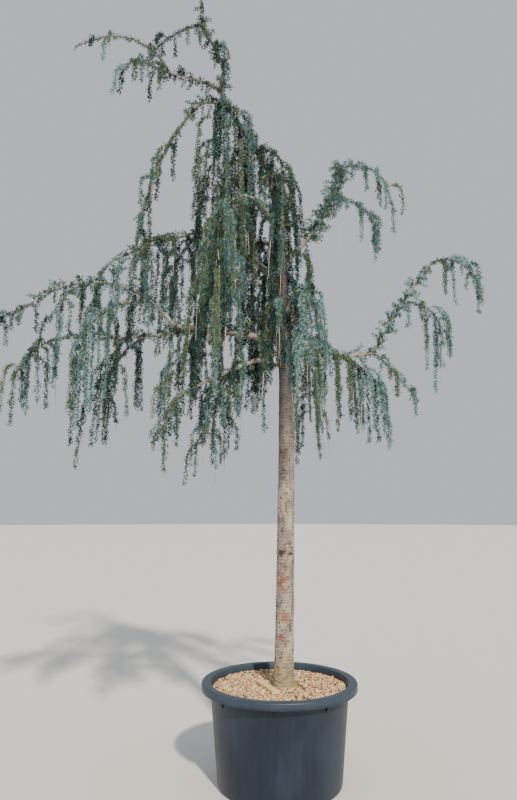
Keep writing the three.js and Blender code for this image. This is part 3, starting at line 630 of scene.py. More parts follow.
def tubes(twigs, sides, name):
    """Many twigs as one mesh: each an open tube of rings along its line."""
    points, corners, total = [], [], 0
    angles = np.arange(sides) * (2 * math.pi / sides)
    spokes = np.stack([np.cos(angles), np.sin(angles)], 1)
    for line, radius in twigs:
        _, across, beside = carried_frames(line)
        ring = (across[:, None] * spokes[None, :, :1] + beside[:, None] * spokes[None, :, 1:])
        points.append((line[:, None] + ring * radius[:, None, None]).reshape(-1, 3))
        start = total + np.arange(len(line) - 1)[:, None] * sides
        near = start + np.arange(sides)[None]
        nxt = start + (np.arange(sides)[None] + 1) % sides
        corners.append(np.stack([near, near + sides, nxt + sides, nxt], -1).reshape(-1, 4))
        total += len(line) * sides
    return joined_mesh(name, np.vstack(points), np.vstack(corners), 4)


# ---------------------------------------------------------------- materials

def add_node(tree, kind, settings=(), values=(), links=(), stops=()):
    """Adds a node: its settings, its sockets' values, what feeds its sockets, a ramp's stops."""
    made = tree.nodes.new(kind)
    for name, value in dict(settings).items():
        setattr(made, name, value)
    for socket, value in dict(values).items():
        made.inputs[socket].default_value = value
    for socket, source in dict(links).items():
        tree.links.new(source, made.inputs[socket])
    for i, (place, colour) in enumerate(stops):
        stop = made.color_ramp.elements[i] if i < 2 else made.color_ramp.elements.new(place)
        stop.position, stop.color = place, opaque(colour)
    return made


def blank_material(name, roughness, ior, colour=(0.5, 0.5, 0.5)):
    """A material with one shader. Returns it, its node tree, its shader and Object coordinates."""
    material = bpy.data.materials.new(name)
    material.use_nodes = True
    tree = material.node_tree
    tree.nodes.clear()
    shader = add_node(tree, "ShaderNodeBsdfPrincipled", values={
        "Base Color": opaque(colour), "Roughness": roughness, "IOR": ior})
    add_node(tree, "ShaderNodeOutputMaterial", links={"Surface": shader.outputs["BSDF"]})
    place = add_node(tree, "ShaderNodeTexCoord").outputs["Object"]
    return material, tree, shader, place


def stretched(tree, place, size, turn=0.0):
    """Object coordinates in units of a pattern's own width, depth and height in metres."""
    return add_node(tree, "ShaderNodeMapping", values={
        "Rotation": (0, 0, math.radians(turn)), "Scale": tuple(1 / side for side in size)},
        links={"Vector": place}).outputs["Vector"]


def noise_of(tree, place, size, detail=4.0, roughness=0.6, turn=0.0):
    """A noise pattern of a size in metres, from 0 to 1."""
    return add_node(tree, "ShaderNodeTexNoise", values={
        "Scale": 1.0, "Detail": detail, "Roughness": roughness},
        links={"Vector": stretched(tree, place, size, turn)}).outputs["Fac"]


def height_of(tree, place):
    """The height above the ground in metres."""
    return add_node(tree, "ShaderNodeSeparateXYZ", links={"Vector": place}).outputs["Z"]


def multiply_add(tree, value, factor, more):
    """One pattern times a factor, added to another."""
    return add_node(tree, "ShaderNodeMath", {"operation": "MULTIPLY_ADD"}, {1: factor},
                    {0: value, 2: more}).outputs["Value"]


def ramp(tree, value, *stops):
    """A pattern as a colour between stops, each a place and a colour."""
    return add_node(tree, "ShaderNodeValToRGB", links={"Fac": value}, stops=stops).outputs["Color"]


def share_of(tree, value, low, high, most=1.0, least=0.0):
    """How far a value has come from low to high, as a share from least to most."""
    return add_node(tree, "ShaderNodeMapRange", values={
        "From Min": low, "From Max": high, "To Min": least, "To Max": most},
        links={"Value": value}).outputs["Result"]


def tinted(tree, base, amount, colour):
    """A colour laid over another by an amount from 0 to 1."""
    return add_node(tree, "ShaderNodeMix", {"data_type": "RGBA"}, {7: opaque(linear(colour))},
                    {0: amount, 6: base}).outputs[2]


def finish_shader(tree, shader, colour, pattern=None, strength=0.0, distance=0.0):
    """Gives a shader its colour and a relief by a pattern, its distance in metres."""
    tree.links.new(colour, shader.inputs["Base Color"])
    if pattern is not None:
        bump = add_node(tree, "ShaderNodeBump", values={"Strength": strength, "Distance": distance},
                        links={"Height": pattern})
        tree.links.new(bump.outputs["Normal"], shader.inputs["Normal"])


def moulded_plastic(colours):
    """Moulded black polyethylene, weathered: satin, with dusty runs and a chalky bloom, and
    painted light on the rim, made paler near its top as if lit from above."""
    material, tree, shader, place = blank_material("moulded_polyethylene_weathered", 0.42, 1.5)
    shader.inputs["Specular IOR Level"].default_value = 0.36
    runs = noise_of(tree, place, (0.035, 0.035, 0.6), 5, 0.62)
    bloom = noise_of(tree, place, (0.22, 0.22, 0.5), 4, 0.55)
    grain = noise_of(tree, place, (0.003, 0.003, 0.003), 2)
    colour = ramp(tree, runs, (0.34, linear("#141e2b")), (0.86, linear("#263648")),
                  (0.6, tuple(colours.plastic)))
    colour = tinted(tree, colour, share_of(tree, bloom, 0.46, 0.74, 0.4), "#374553")
    # Painted light: the rim's top is made paler, as if lit from above.
    rim_painted_light = share_of(tree, height_of(tree, place), 0.508, 0.53, 0.3)
    colour = tinted(tree, colour, rim_painted_light, "#4b5b68")
    tree.links.new(share_of(tree, bloom, 0, 1, 0.56, 0.34), shader.inputs["Roughness"])
    finish_shader(tree, shader, colour, grain, 0.12, 0.001)
    return material


def fissured_bark(name, grey, warm, dark, marks=1.0, spots=()):
    """Young cedar bark: dull scales ringed by short cross cracks, rusty where they have flaked.
    marks is how strongly the cracks and dark mottles show. With spots it is the trunk's: those
    show on it, it darkens up into the crown with darker bark and painted shade of the crown, and it
    is mossy at the foot."""
    material, tree, shader, place = blank_material(name, 0.9, 1.45)
    flakes = noise_of(tree, place, (0.06, 0.06, 0.075), 4, 0.58)
    broad = noise_of(tree, place, (0.05, 0.05, 0.13), 4, 0.6)
    mottles = noise_of(tree, place, (0.024, 0.024, 0.03), 4, 0.65)
    specks = noise_of(tree, place, (0.010, 0.010, 0.008), 3, 0.6)
    waves = add_node(tree, "ShaderNodeTexWave", {"bands_direction": "Z"}, {
        "Scale": 1.0, "Distortion": 7.0, "Detail": 4.0, "Detail Scale": 1.6},
        {"Vector": stretched(tree, place, (0.05, 0.05, 0.06))}).outputs["Fac"]
    rings = multiply_add(tree, mottles, 2.2, waves)
    layers = [
        (flakes, 0.5, 0.68, 0.6, warm), (mottles, 0.46, 0.34, 0.8 * marks, dark),
        (rings, 1.34, 0.96, 0.68 * marks, dark), (specks, 0.6, 0.7, 0.5, "#e4dccf")]
    for centre, size, amount, tint in spots:
        away = add_node(tree, "ShaderNodeVectorMath", {"operation": "DISTANCE"}, {1: centre},
                        {0: place}).outputs["Value"]
        ragged = multiply_add(tree, mottles, 2.4 * size, away)
        layers.append((ragged, 2.2 * size, 1.7 * size, amount, tint))
    if spots:
        height = height_of(tree, place)
        # The first layer darkens the trunk up into the crown: darker bark and painted shade of the
        # crown. The second is moss at the foot.
        layers += [(height, 1.65, 2.2, 0.84, "#36333a"), (height, 0.76, 0.54, 0.55, "#928950")]
    colour = ramp(tree, broad, (0.36, linear("#756d6b")), (0.6, linear(grey)))
    for pattern, low, high, amount, tint in layers:
        colour = tinted(tree, colour, share_of(tree, pattern, low, high, amount), tint)
    finish_shader(tree, shader, colour, rings, 0.8, 0.0025)
    return material


def growing_medium(colours):
    """Damp peat and fine bark between the chips: matt, dark and granular."""
    material, tree, shader, place = blank_material("growing_medium_bark_fines", 0.97, 1.4)
    grains = noise_of(tree, place, (0.011, 0.011, 0.011), 5, 0.7)
    patch = noise_of(tree, place, (0.14, 0.14, 0.14), 3)
    colour = ramp(tree, grains, (0.34, linear("#4f3c2b")), (0.7, linear("#dcc39c")),
                  (0.5, tuple(colours.substrate)))
    colour = tinted(tree, colour, share_of(tree, patch, 0.54, 0.72, 0.35), "#7c7048")
    finish_shader(tree, shader, colour, grains, 0.8, 0.006)
    return material


def bark_chip(name, colour):
    """Dry pine bark chip: matt, fibrous, a little darker in its grain."""
    material, tree, shader, place = blank_material(name, 0.85, 1.45)
    fibre = noise_of(tree, place, (0.004, 0.012, 0.004), 3)
    lit = linear(colour)
    shaded = tuple(0.62 * c for c in lit)
    finish_shader(tree, shader, ramp(tree, fibre, (0.35, shaded), (0.62, lit)))
    return material


def split_softwood(colours):
    """Raw split softwood: pale yellow-tan with its grain along the board."""
    material, tree, shader, place = blank_material("split_softwood_raw", 0.78, 1.45)
    grain = noise_of(tree, place, (0.09, 0.004, 0.004), 4, 0.6, -BOARD_TURN)
    colour = ramp(tree, grain, (0.32, linear("#bd9663")), (0.66, tuple(colours.slat)),
                  (0.8, linear("#fcf0d0")))
    finish_shader(tree, shader, colour, grain, 0.5, 0.001)
    return material


def waxy_needles(name, colour, bloom):
    """Cedar needles: stiff, their gloss dulled by a pale wax bloom, thin on the older ones."""
    material, _, shader, _ = blank_material(name, 0.6, 1.45, linear(colour))
    shader.inputs["Specular IOR Level"].default_value = 0.2
    shader.inputs["Sheen Weight"].default_value = bloom
    shader.inputs["Sheen Roughness"].default_value = 0.5
    return material


def young_twig(name, colour, roughness):
    """A one-year cedar shoot: thin smooth rind, plain but for its ageing to brown."""
    return blank_material(name, roughness, 1.45, linear(colour))[0]


def pale_floor(colours):
    """Plain pale studio floor, matt."""
    return blank_material("studio_floor_matt", 0.9, 1.45, tuple(colours.floor))[0]


# ---------------------------------------------------------------- settings

class CedarSizes(PropertyGroup):
    rim_radius: FloatProperty(
        name="Rim radius", description="Radius of the container's rolled rim",
        default=round(POT_HIGH.x, 4), unit="LENGTH")
    pot_height: FloatProperty(
        name="Container height", description="Height of the container to the top of its rim",
        default=round(POT_HIGH.z, 4), unit="LENGTH")
    wall: FloatProperty(
        name="Wall", description="Thickness of the container's wall",
        default=0.007, unit="LENGTH")
    chips: IntProperty(
        name="Bark chips", description="Chips that lie on the substrate", default=5200)
    bark_depth: FloatProperty(
        name="Bark relief", description="Depth of the bark's plates and cracks on the trunk",
        default=0.0013, unit="LENGTH")
    infill: FloatProperty(
        name="Infill", description="Fine shoots between the main ones, as times their number",
        default=2.0)
    needle: FloatProperty(
        name="Needle", description="Length of a needle in the middle of a shoot",
        default=0.0235, unit="LENGTH")
    needle_width: FloatProperty(
        name="Needle width",
        description="Width of a needle's root, drawn two to three times the real one",
        default=0.0034, unit="LENGTH")
    needles_a_tuft: IntProperty(
        name="Needles a tuft", description="Needles in each short-shoot tuft", default=12)
    tuft_spacing: FloatProperty(
        name="Tuft spacing", description="Distance between tufts along a twig",
        default=0.0066, unit="LENGTH")


class CedarColours(PropertyGroup):
    plastic: FloatVectorProperty(
        name="Container", description="Container's main colour", subtype="COLOR",
        default=linear("#162537"), min=0, max=1)
    substrate: FloatVectorProperty(
        name="Substrate", description="Fines between the chips", subtype="COLOR",
        default=linear("#b8925f"), min=0, max=1)
    slat: FloatVectorProperty(
        name="Board", description="Offcut of board on the substrate", subtype="COLOR",
        default=linear("#f7dda2"), min=0, max=1)
    floor: FloatVectorProperty(
        name="Floor", description="Studio floor", subtype="COLOR",
        default=linear("#dcd9d4"), min=0, max=1)


# ---------------------------------------------------------------- pieces

def soil_height(x, y):
    """The substrate's surface in millimetres: lumpy, a little higher round the trunk."""
    lumps = sum(height * noise.noise(Vector((x / width, y / width, layer)))
                for height, width, layer in LUMPS)
    mound = MOUND_HEIGHT * math.exp(-((x - MOUND_X) ** 2 + y ** 2) / MOUND_WIDTH ** 2)
    return SOIL_TOP - 2 + lumps + mound


class CEDAR_OT_pot(Operator):
    """Spins the container with its rolled rim and adds the gussets under it"""
    bl_idname = "cedar.pot"
    bl_label = "Container"

    def execute(self, context):
        sizes = context.scene.cedar_sizes
        height, rim, wall = (v * 1000 for v in (sizes.pot_height, sizes.rim_radius, sizes.wall))

        def wall_at(z):
            """The wall's outer radius at a height."""
            return FOOT_RADIUS + (WALL_TOP_RADIUS - FOOT_RADIUS) * z / height

        def quarter_round(radius, z, across, up, first):
            """A quarter of an ellipse about a point, from an angle on."""
            angles = [math.radians(angle) for angle in range(first, first + 91, 15)]
            return [(radius + across * math.cos(a), z + up * math.sin(a)) for a in angles]

        bm = spun([
            # underside with its moulded ring
            (0, 0), (FOOT_RADIUS - 46, 0), (FOOT_RADIUS - 40, 4), (FOOT_RADIUS - 34, 4),
            (FOOT_RADIUS - 22, 0), (FOOT_RADIUS - 10, 2.5),
            # up the wall and its stiffening band
            (wall_at(12) - 3, 10), (wall_at(22), 22), (wall_at(160), 160), (wall_at(320), 320),
            (wall_at(462), 462), (wall_at(466) + 1.6, 468), (wall_at(500) + 1.6, 500),
            # out under the rim and over it
            (wall_at(506) + 3, 509), (rim - 9, 509), (rim - 3, 508.5), (rim, 512), (rim, 524),
            *quarter_round(rim - 9, height - 11, 9, 11, 0),
            *quarter_round(wall_at(height) + 3, height - 9, 9, 9, 90),
            # down the inside to the floor
            (wall_at(530) - wall, 530), (wall_at(300) - wall, 300), (wall_at(40) - wall, 40),
            (wall_at(20) - wall - 12, 12), (0, 12),
        ], POT_STEPS)
        for i in range(GUSSETS):
            angle = math.radians(270 + GUSSET_TURN + 360 / GUSSETS * i)
            rib = bmesh.ops.create_cube(bm, size=1)["verts"]
            for vert in rib:
                z, depth = GUSSET_LOW if vert.co.z < 0 else GUSSET_HIGH
                out = wall_at(GUSSET_LOW[0]) + (depth if vert.co.x > 0 else -GUSSET_SINK)
                vert.co = Vector((out * MM, vert.co.y * GUSSET_WIDTH * MM, z * MM))
            bmesh.ops.rotate(bm, verts=rib, cent=(0, 0, 0), matrix=Matrix.Rotation(angle, 3, "Z"))
        plastic = moulded_plastic(context.scene.cedar_colours)
        piece = finish_piece("container", mesh_of(bm, "container"), plastic, ["pot"])
        soften = piece.modifiers.new("Rounded edges", "BEVEL")
        soften.width, soften.segments, soften.angle_limit = 0.0012, 2, math.radians(38)
        return {"FINISHED"}


class CEDAR_OT_substrate(Operator):
    """Spins the lumpy substrate and scatters bark chips and a fallen twig on it"""
    bl_idname = "cedar.substrate"
    bl_label = "Substrate"

    def execute(self, context):
        sizes, colours = context.scene.cedar_sizes, context.scene.cedar_colours
        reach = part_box("soil")[1].x * 1000
        bm = spun([(0, 13), (reach - 52, 13), (reach - 4, SOIL_TOP - 60)]
                  + [(r, SOIL_TOP) for r in np.linspace(reach - 1, 0, SUBSTRATE_RINGS)],
                  SUBSTRATE_STEPS)
        for vert in bm.verts:
            if vert.co.z > (SOIL_TOP - 1) * MM:
                vert.co.z = soil_height(vert.co.x * 1000, vert.co.y * 1000) * MM
        finish_piece("substrate", mesh_of(bm, "substrate"), growing_medium(colours),
                     ["soil"])
        self.scatter(sizes.chips, reach - 6)
        self.fallen_twig()
        return {"FINISHED"}

    def scatter(self, count, reach):
        """Irregular six-sided chips, each a squashed block, dealt out over four tints."""
        rng = np.random.default_rng(41)
        block = np.array([(x, y, z) for x in (-1, 1) for y in (-1, 1) for z in (-1, 1)], float) / 2
        faces = np.array(((0, 1, 3, 2), (4, 6, 7, 5), (0, 4, 5, 1), (2, 3, 7, 6), (0, 2, 6, 4),
                          (1, 5, 7, 3)))
        radius = reach * np.sqrt(rng.random(count))
        around = rng.random(count) * 2 * math.pi
        x, y = radius * np.cos(around), radius * np.sin(around)
        clear = np.hypot(x - TRUNK_FOOT_X, y) > trunk_radius(SOIL_TOP) + 2
        x, y = x[clear], y[clear]
        n = len(x)
        length = rng.uniform(*CHIP_LENGTH, n) * rng.choice((CHIP_SMALL, 1.0), n, p=(0.5, 0.5))
        size = np.stack([length, length * rng.uniform(*CHIP_WIDTH, n),
                         rng.uniform(*CHIP_THICKNESS, n)], 1)
        shape = block[None] * size[:, None] * rng.uniform(*CHIP_CORNER, (n, 8, 1))
        yaw, tip = rng.random(n) * 2 * math.pi, rng.normal(0, CHIP_SLOPE, (n, 2))
        turned = shape.copy()
        turned[..., 2] += shape[..., 0] * tip[:, :1] + shape[..., 1] * tip[:, 1:]
        c, s = np.cos(yaw)[:, None], np.sin(yaw)[:, None]
        turned[..., 0], turned[..., 1] = (shape[..., 0] * c - shape[..., 1] * s,
                                          shape[..., 0] * s + shape[..., 1] * c)
        ground = np.array([soil_height(a, b) for a, b in zip(x, y)])
        turned += np.stack([x, y, ground + size[:, 2] * 0.4], 1)[:, None]
        inside = np.hypot(turned[..., 0], turned[..., 1]).max(1) < reach + 3
        tint = rng.choice(len(CHIP_TINTS), n, p=[share for _, _, share in CHIP_TINTS])
        for index, (name, colour, _) in enumerate(CHIP_TINTS):
            mine = turned[inside & (tint == index)]
            corners = faces[None] + 8 * np.arange(len(mine))[:, None, None]
            mesh = joined_mesh(name, mine.reshape(-1, 3), corners, 4)
            finish_piece(name, mesh, bark_chip("pine_" + name, colour), smooth=False)

    def fallen_twig(self):
        """A short dark twig that lies to the right of the trunk."""
        x, y = np.linspace(104, 150, 8), np.linspace(12, -112, 8)
        height = np.array([soil_height(a, b) for a, b in zip(x, y)]) + 5
        line = np.stack([x, y, height + 3 * np.sin(np.linspace(0, 3, 8))], 1)
        limb_piece("fallen_twig", line, np.linspace(3.4, 2, 8), 8,
                   young_twig("dead_twig_weathered", "#3d322c", 0.9))


class CEDAR_OT_slat(Operator):
    """Makes the offcut of board that lies on the substrate"""
    bl_idname = "cedar.slat"
    bl_label = "Board offcut"

    def execute(self, context):
        low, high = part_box("slat")
        centre = (Vector(low) + Vector(high)) / 2
        bm = bmesh.new()
        bmesh.ops.create_cube(bm, size=1)
        bmesh.ops.scale(bm, vec=BOARD_SIZE, verts=bm.verts)
        long_edges = [e for e in bm.edges if abs(e.verts[0].co.x - e.verts[1].co.x) > 0.1]
        bmesh.ops.subdivide_edges(bm, edges=long_edges, cuts=BOARD_CUTS)
        bmesh.ops.bevel(bm, geom=[e for e in bm.edges if e.calc_face_angle(0) > 1],
                        offset=BOARD_ROUNDING, offset_type="OFFSET", segments=2, profile=0.5,
                        affect="EDGES", material=-1)
        for vert in bm.verts:
            end = max(0, abs(vert.co.x) - BOARD_SOUND)
            vert.co.x += 0.5 * end * noise.noise(vert.co * 130)
            vert.co.y *= 1 - 0.16 * noise.noise(Vector((vert.co.x * 30, 0, 5)))
            vert.co.z += 0.0007 * noise.noise(vert.co * 60)
        bmesh.ops.rotate(bm, verts=bm.verts, cent=(0, 0, 0),
                         matrix=Matrix.Rotation(math.radians(BOARD_TURN), 3, "Z"))
        bmesh.ops.translate(bm, vec=centre + Vector((0, 0, BOARD_LIFT)), verts=bm.verts)
        finish_piece("board_offcut", mesh_of(bm, "board_offcut"),
                     split_softwood(context.scene.cedar_colours), ["slat"])
        return {"FINISHED"}


class CEDAR_OT_trunk(Operator):
    """Draws out the trunk with its flare, lean, sawn stub and bark relief"""
    bl_idname = "cedar.trunk"
    bl_label = "Trunk"

    def execute(self, context):
        depth = context.scene.cedar_sizes.bark_depth * 1000
        limbs = all_limbs()
        shares = np.concatenate([np.linspace(0, 0.5, LOWER_RINGS),
                                 np.linspace(0.5, 1, UPPER_RINGS)[1:]])
        line = along(TRUNK_LINE, shares)
        line[0, 2] = SOIL_TOP - TRUNK_SUNK
        radii = np.array([trunk_radius(z) for z in line[:, 2]])
        collars = []
        for limb in limbs.values():
            if limb["on"] == "trunk":
                root, ahead = limb["line"][:2]
                out = unit(ahead - root) * trunk_radius(root[2])
                collars.append((Vector(root + out), limb["radius"](0) * COLLAR_SHARE))
        roll = dice(77)
        for i in range(SCARS):
            height = SCAR_LOWEST + SCAR_STEP * i + SCAR_SPREAD * roll()
            collars.append((on_bark(height, 360 * roll()), SCAR_LEAST + SCAR_SPAN * roll()))
        marks = [(on_bark(height, azimuth), size, amount, tint)
                 for height, azimuth, size, amount, tint in KNOTS + RUST_PATCHES]
        collars += [(at, size * KNOT_SHARE) for at, size, _, _ in marks[:len(KNOTS)]]
        spots = [(at * MM, size * MM, amount, tint) for at, size, amount, tint in marks]
        bark = fissured_bark("cedar_bark_fissured", "#aea292", "#8f6a52", "#4a3e36", 1.0, spots)
        limb_piece("trunk_bark", line, radii, TRUNK_SIDES, bark, ["trunk"], depth, collars)
        limb_piece("sawn_stub", along(limbs["stub"]["line"], np.linspace(0.1, 1, 24)),
                   np.full(24, STUB["radius"]), BOUGH_SIDES, bark, ["trunk"], depth * 0.6)
        return {"FINISHED"}


class CEDAR_OT_boughs(Operator):
    """Draws out every bough with its bark, rounded off at its tip"""
    bl_idname = "cedar.boughs"
    bl_label = "Boughs"

    def execute(self, context):
        depth = context.scene.cedar_sizes.bark_depth * 1000
        limbs = all_limbs()
        bark = fissured_bark("cedar_bough_bark_silvered", "#b0aca5", "#7b6b60", "#453c37", 0.75)
        for name, row in BOUGHS.items():
            limb, bough = limbs[name], dict(zip(BOUGH_KEYS, row))
            shares = np.linspace(0, 1, max(20, round(bough["length"] / BOUGH_STEP)))
            radii = np.array([limb["radius"](s) for s in shares])
            radii[:3] *= ROOT_SWELL
            radii[-3:] *= TIP_ROUNDING
            limb_piece(name + "_bark", along(limb["line"], shares), radii, BOUGH_SIDES, bark,
                       [name], depth * min(1, bough["thick"] / 22) * 0.8)
        return {"FINISHED"}


class CEDAR_OT_foliage(Operator):
    """Grows stems, weeping shoots, side twigs and needle tufts for every mass"""
    bl_idname = "cedar.foliage"
    bl_label = "Foliage"

    def execute(self, context):
        sizes = context.scene.cedar_sizes
        limbs, stems, shoots = grow(sizes.infill)
        rng = np.random.default_rng(2026)
        self.spacing = sizes.tuft_spacing * 1000
        self.stems, self.twigs, self.whips, self.tufts = [], [], [], []
        for stem in stems:
            length, bare = stem["length"], stem["bare"] * 0.5
            line = along(stem["line"], np.linspace(0, 1, max(8, round(length / STEM_STEP))))
            tint = self.tint_for(line, rng)
            self.stems.append(tapered(line, STEM_RADII))
            self.clothe(line, bare, length, rng, 1.0, tint)
            self.side_twigs(stem["line"], length, bare, rng, tint)
        for shoot in shoots:
            line, length, bare = shoot["line"], shoot["length"], shoot["bare"] * 0.5
            stray = rng.normal(0, SHOOT_STRAY, line.shape) * np.linspace(0, 1, len(line))[:, None]
            line = along(line + stray, np.linspace(0, 1, max(5, round(length / SHOOT_STEP))))
            tint = self.tint_for(line, rng)
            whip = rng.random() < WHIP_SHARE and length > WHIP_LEAST
            clothed = length * (rng.uniform(0.5, 0.78) if whip else 1)
            self.twigs.append(tapered(line, SHOOT_RADII))
            if whip:
                end = along(line, np.linspace(clothed / length, 1, 8))
                self.whips.append(tapered(end, SHOOT_WHIP_RADII))
            self.clothe(line, bare, length, rng, 0.95, tint, clothed)
            self.side_twigs(line, length, bare, rng, tint, clothed)
        carriers = {**limbs, **{stem["mass"]: stem for stem in stems}}
        for on, at, length in WHIPS:
            line = walk(start_on(carriers, on, at), rng.uniform(0, 360), *WHIP_COURSE, length)
            self.whips.append(tapered(line + rng.normal(0, WHIP_STRAY, line.shape), WHIP_RADII))
        for name, (first, pitch) in DRESSED_LIMBS.items():
            self.dress(limbs[name], first, pitch, rng)
        self.write(sizes, rng)
        return {"FINISHED"}

    def tint_for(self, line, rng):
        """A spray's tint, partly by chance: deeper and greener near the trunk as painted shade,
        bluer and paler outside and to the right as painted light.
        """
        middle = line[len(line) // 2]
        axis = along(TRUNK_LINE, share_at_height(min(middle[2], CROWN_TOP)))
        outside = min(1, math.hypot(*(middle - axis)[:2]) / CROWN_REACH)
        sunny = 0.5 + 0.5 * np.dot(unit((middle - axis)[:2]), SUNNY_SIDE)
        # Painted light and shade: sprays far out and facing the sun get paler tints, inner ones
        # deeper tints.
        score = BY_CHANCE * rng.random() + BY_PLACE * outside + BY_SUN * sunny
        place = np.clip((score - SCORE_LEAST) / SCORE_SPAN, 0, 0.999)
        return int(np.searchsorted(np.cumsum([tint[2] for tint in TINTS]), place))

    def clothe(self, line, bare, length, rng, size, tint, end=None, radius_at=None):
        """Marks a tuft at each step along the clothed part of a twig or limb."""
        end = length if end is None else end
        count = max(1, int((end - bare) / self.spacing))
        at = (bare + (np.arange(count) + rng.random(count) * 0.7) * self.spacing) / length
        forward, across, beside = carried_frames(line)
        angle = np.arange(count) * SPIRAL + rng.random() * FULL_TURN + rng.normal(0, 0.4, count)
        f = unit(along(forward, at))
        u, v = along(across, at), along(beside, at)
        out = unit(u * np.cos(angle)[:, None] + v * np.sin(angle)[:, None])
        spur = rng.uniform(1, 9, (count, 1))
        if radius_at:
            spur += np.array([radius_at(s) for s in at])[:, None]
        taper = size * (1 - 0.3 * np.clip(at, 0, 1) ** 2) * rng.uniform(0.7, 1.12, count)
        tints = np.full(count, tint)
        odd = rng.random(count) < ODD_TUFTS
        tints[odd] = np.clip(tint + rng.choice((-1, 1), odd.sum()), 0, len(TINTS) - 1)
        self.tufts.append(np.column_stack([along(line, at) + out * spur, f, out, taper, tints]))

    def short_twig(self, start, first, reach, rng, tint, thick=SIDE_TWIG):
        """A twig a few centimetres long that sets out one way and turns down."""
        points = [start]
        for k in range(TWIG_STEPS):
            way = unit(first + np.array((0, 0, -TWIG_NOD * k)))
            points.append(points[-1] + way * reach / TWIG_STEPS)
        twig = np.array(points)
        self.twigs.append(tapered(twig, (thick, TWIG_TIP)))
        self.clothe(twig, 3, reach, rng, 0.85, tint)

    def side_twigs(self, line, length, bare, rng, tint, end=None):
        """Second-level twigs that leave a shoot every few centimetres and turn down."""
        end = length if end is None else end
        count = int((end - bare) / rng.uniform(*SIDE_SPACING))
        for i in range(count):
            share = (bare + (i + rng.random()) * (end - bare) / max(count, 1)) / length
            ahead = unit(along(line, min(share + 0.05, 1)) - along(line, max(share - 0.05, 0)))
            out = heading(rng.random() * 360, -20)
            first = unit(ahead * 0.8 + out * rng.uniform(0.4, 1.0))
            reach = rng.uniform(*SIDE_LENGTH) * (1 - 0.4 * share)
            self.short_twig(along(line, share), first, reach, rng, tint)

    def dress(self, limb, first, pitch, rng):
        """Tufts on a limb's own bark and short twigs that stand out of it and nod."""
        line = limb["line"]
        length = float(np.linalg.norm(np.diff(line, axis=0), axis=1).sum())
        bare = first * length
        forward, across, beside = carried_frames(line)
        count = int((length - bare) / pitch)
        for i in range(count):
            share = (bare + (i + rng.random()) * pitch) / length
            ahead, u, v = (along(rows, share) for rows in (forward, across, beside))
            angle = rng.random() * 2 * math.pi
            out = unit(u * math.cos(angle) + v * math.sin(angle) + np.array((0, 0, 0.35)))
            start = along(line, share) + out * limb["radius"](share) * 0.9
            way = unit(out + ahead * rng.uniform(0.1, 0.8))
            at = start + out * 70
            tint = self.tint_for(np.array([at, at]), rng)
            self.short_twig(start, way, rng.uniform(*LIMB_LENGTH), rng, tint, LIMB_TWIG)
            if i % TUFTED_EACH == 0:
                part = min(pitch * TUFTED_EACH, length - bare)
                self.clothe(line, min(share * length, length - part), length, rng, 0.8, tint,
                            min(share * length + part * 0.6, length), limb["radius"])

    def write(self, sizes, rng):
        """Makes the pieces: the twigs of each kind, then the needles of each tint."""
        for name, twigs, sides, material in (
            ("stems", self.stems, 7,
             fissured_bark("cedar_stem_rind", "#8d8479", "#6d5b4f", "#463d37", 0.6)),
            ("twigs", self.twigs, 3, young_twig("young_shoot_rind", "#665641", 0.75)),
            ("whips", self.whips, 5, young_twig("fresh_shoot_rind", "#bbaa9a", 0.6)),
        ):
            finish_piece(name, tubes(twigs, sides, name), material, FOLIAGE_NODES)
        tufts = np.vstack(self.tufts)
        for index, (name, colour, _, bloom) in enumerate(TINTS):
            mine = tufts[tufts[:, 10] == index]
            material = waxy_needles("waxy_" + name, colour, bloom)
            most = NEEDLES_A_MESH // sizes.needles_a_tuft
            for part in range(math.ceil(len(mine) / most)):
                label = name if len(mine) <= most else f"{name}_{part + 1}"
                mesh = self.needle_mesh(label, mine[part * most:(part + 1) * most], sizes, rng)
                finish_piece(label, mesh, material, FOLIAGE_NODES, smooth=False)

    def needle_mesh(self, name, tufts, sizes, rng):
        """Tufts of needles that open out of a short spur, each needle one slim pointed blade."""
        n, k = len(tufts), sizes.needles_a_tuft
        at, forward, out = tufts[:, 0:3], tufts[:, 3:6], tufts[:, 6:9]
        side = unit(np.cross(out, forward))
        lean = np.radians(rng.uniform(10, 80, (n, k)))[..., None]
        around = (np.arange(k) * SPIRAL + rng.random((n, 1)) * FULL_TURN)[..., None]
        aside = side[:, None] * np.cos(around) + forward[:, None] * np.sin(around)
        way = unit(out[:, None] * np.cos(lean) + aside * np.sin(lean) + forward[:, None] * 0.3)
        long = sizes.needle * 1000 * tufts[:, 9][:, None, None] * rng.uniform(0.7, 1.08, (n, k, 1))
        root = np.broadcast_to(at[:, None], way.shape) + way * 0.8
        half = unit(np.cross(way, unit(rng.normal(0, 1, (n, k, 3))))) * sizes.needle_width * 500
        points = np.stack([root + half, root + way * long, root - half], 2)
        corners = np.arange(n * k * 3).reshape(-1, 3)
        return joined_mesh(name, points.reshape(-1, 3), corners, 3)


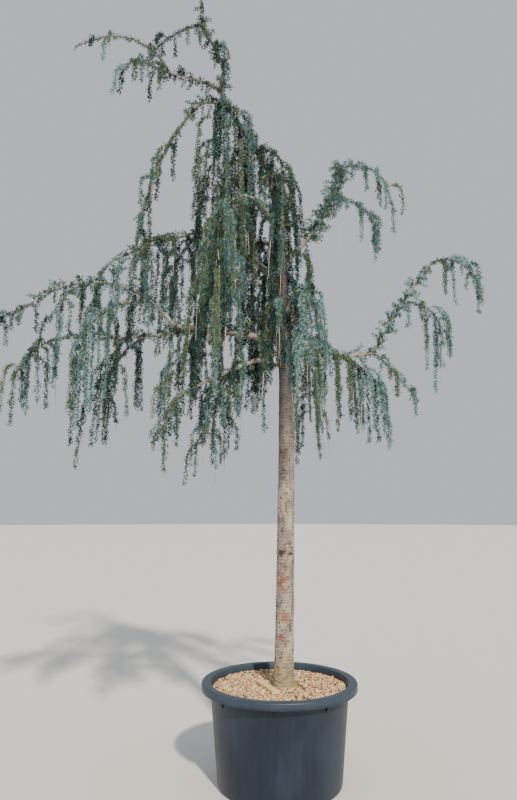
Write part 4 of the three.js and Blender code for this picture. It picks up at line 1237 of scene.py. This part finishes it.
class CEDAR_OT_stage(Operator):
    """Lays the pale floor and sets the soft lights and the photograph's camera"""
    bl_idname = "cedar.stage"
    bl_label = "Stage"

    def execute(self, context):
        scene = context.scene
        bm = bmesh.new()
        bmesh.ops.create_circle(bm, cap_ends=True, radius=60, segments=96)
        mesh = bpy.data.meshes.new("studio_floor")
        bm.to_mesh(mesh)
        bm.free()
        mesh.materials.append(pale_floor(scene.cedar_colours))
        placed("studio_floor", mesh)
        scene.world = bpy.data.worlds.new("studio_air")
        scene.world.use_nodes = True
        air = scene.world.node_tree.nodes["Background"]
        air.inputs["Color"].default_value = opaque(linear(AIR[0]))
        air.inputs["Strength"].default_value = AIR[1]
        for name, place, strength, spread, colour in LAMPS:
            lamp = bpy.data.lights.new(name, "SUN")
            lamp.energy, lamp.angle = strength, math.radians(spread)
            lamp.color = linear(colour)
            placed(name, lamp, place, (-Vector(place)).to_track_quat("-Z", "Y").to_euler())
        camera = bpy.data.cameras.new("photo_view")
        camera.sensor_fit = "VERTICAL"
        camera.sensor_height = 36
        camera.lens = FOCAL_PIXELS / FRAME_HEIGHT * camera.sensor_height
        camera.clip_end = 200
        scene.camera = placed("photo_view", camera, EYE, (math.radians(90 + TILT_UP), 0, 0))
        return {"FINISHED"}


class CEDAR_PT_tree(Panel):
    bl_label = "Weeping Cedar"
    bl_idname = "CEDAR_PT_tree"
    bl_space_type = "VIEW_3D"
    bl_region_type = "UI"
    bl_category = "Cedar"

    def draw(self, context):
        layout = self.layout
        for group in (context.scene.cedar_sizes, context.scene.cedar_colours):
            for name in group.__annotations__:
                layout.prop(group, name)
        for operator in OPERATORS:
            layout.operator(operator.bl_idname)


OPERATORS = (CEDAR_OT_stage, CEDAR_OT_pot, CEDAR_OT_substrate, CEDAR_OT_slat, CEDAR_OT_trunk,
             CEDAR_OT_boughs, CEDAR_OT_foliage)
CLASSES = (CedarSizes, CedarColours, *OPERATORS, CEDAR_PT_tree)


def register():
    for cls in CLASSES:
        bpy.utils.register_class(cls)
    bpy.types.Scene.cedar_sizes = PointerProperty(type=CedarSizes)
    bpy.types.Scene.cedar_colours = PointerProperty(type=CedarColours)


def unregister():
    del bpy.types.Scene.cedar_sizes
    del bpy.types.Scene.cedar_colours
    for cls in reversed(CLASSES):
        bpy.utils.unregister_class(cls)


def main():
    register()
    bpy.ops.cedar.stage()
    bpy.ops.cedar.pot()
    bpy.ops.cedar.substrate()
    bpy.ops.cedar.slat()
    bpy.ops.cedar.trunk()
    bpy.ops.cedar.boughs()
    bpy.ops.cedar.foliage()
    bpy.context.view_layer.update()


if __name__ == "__main__":
    main()
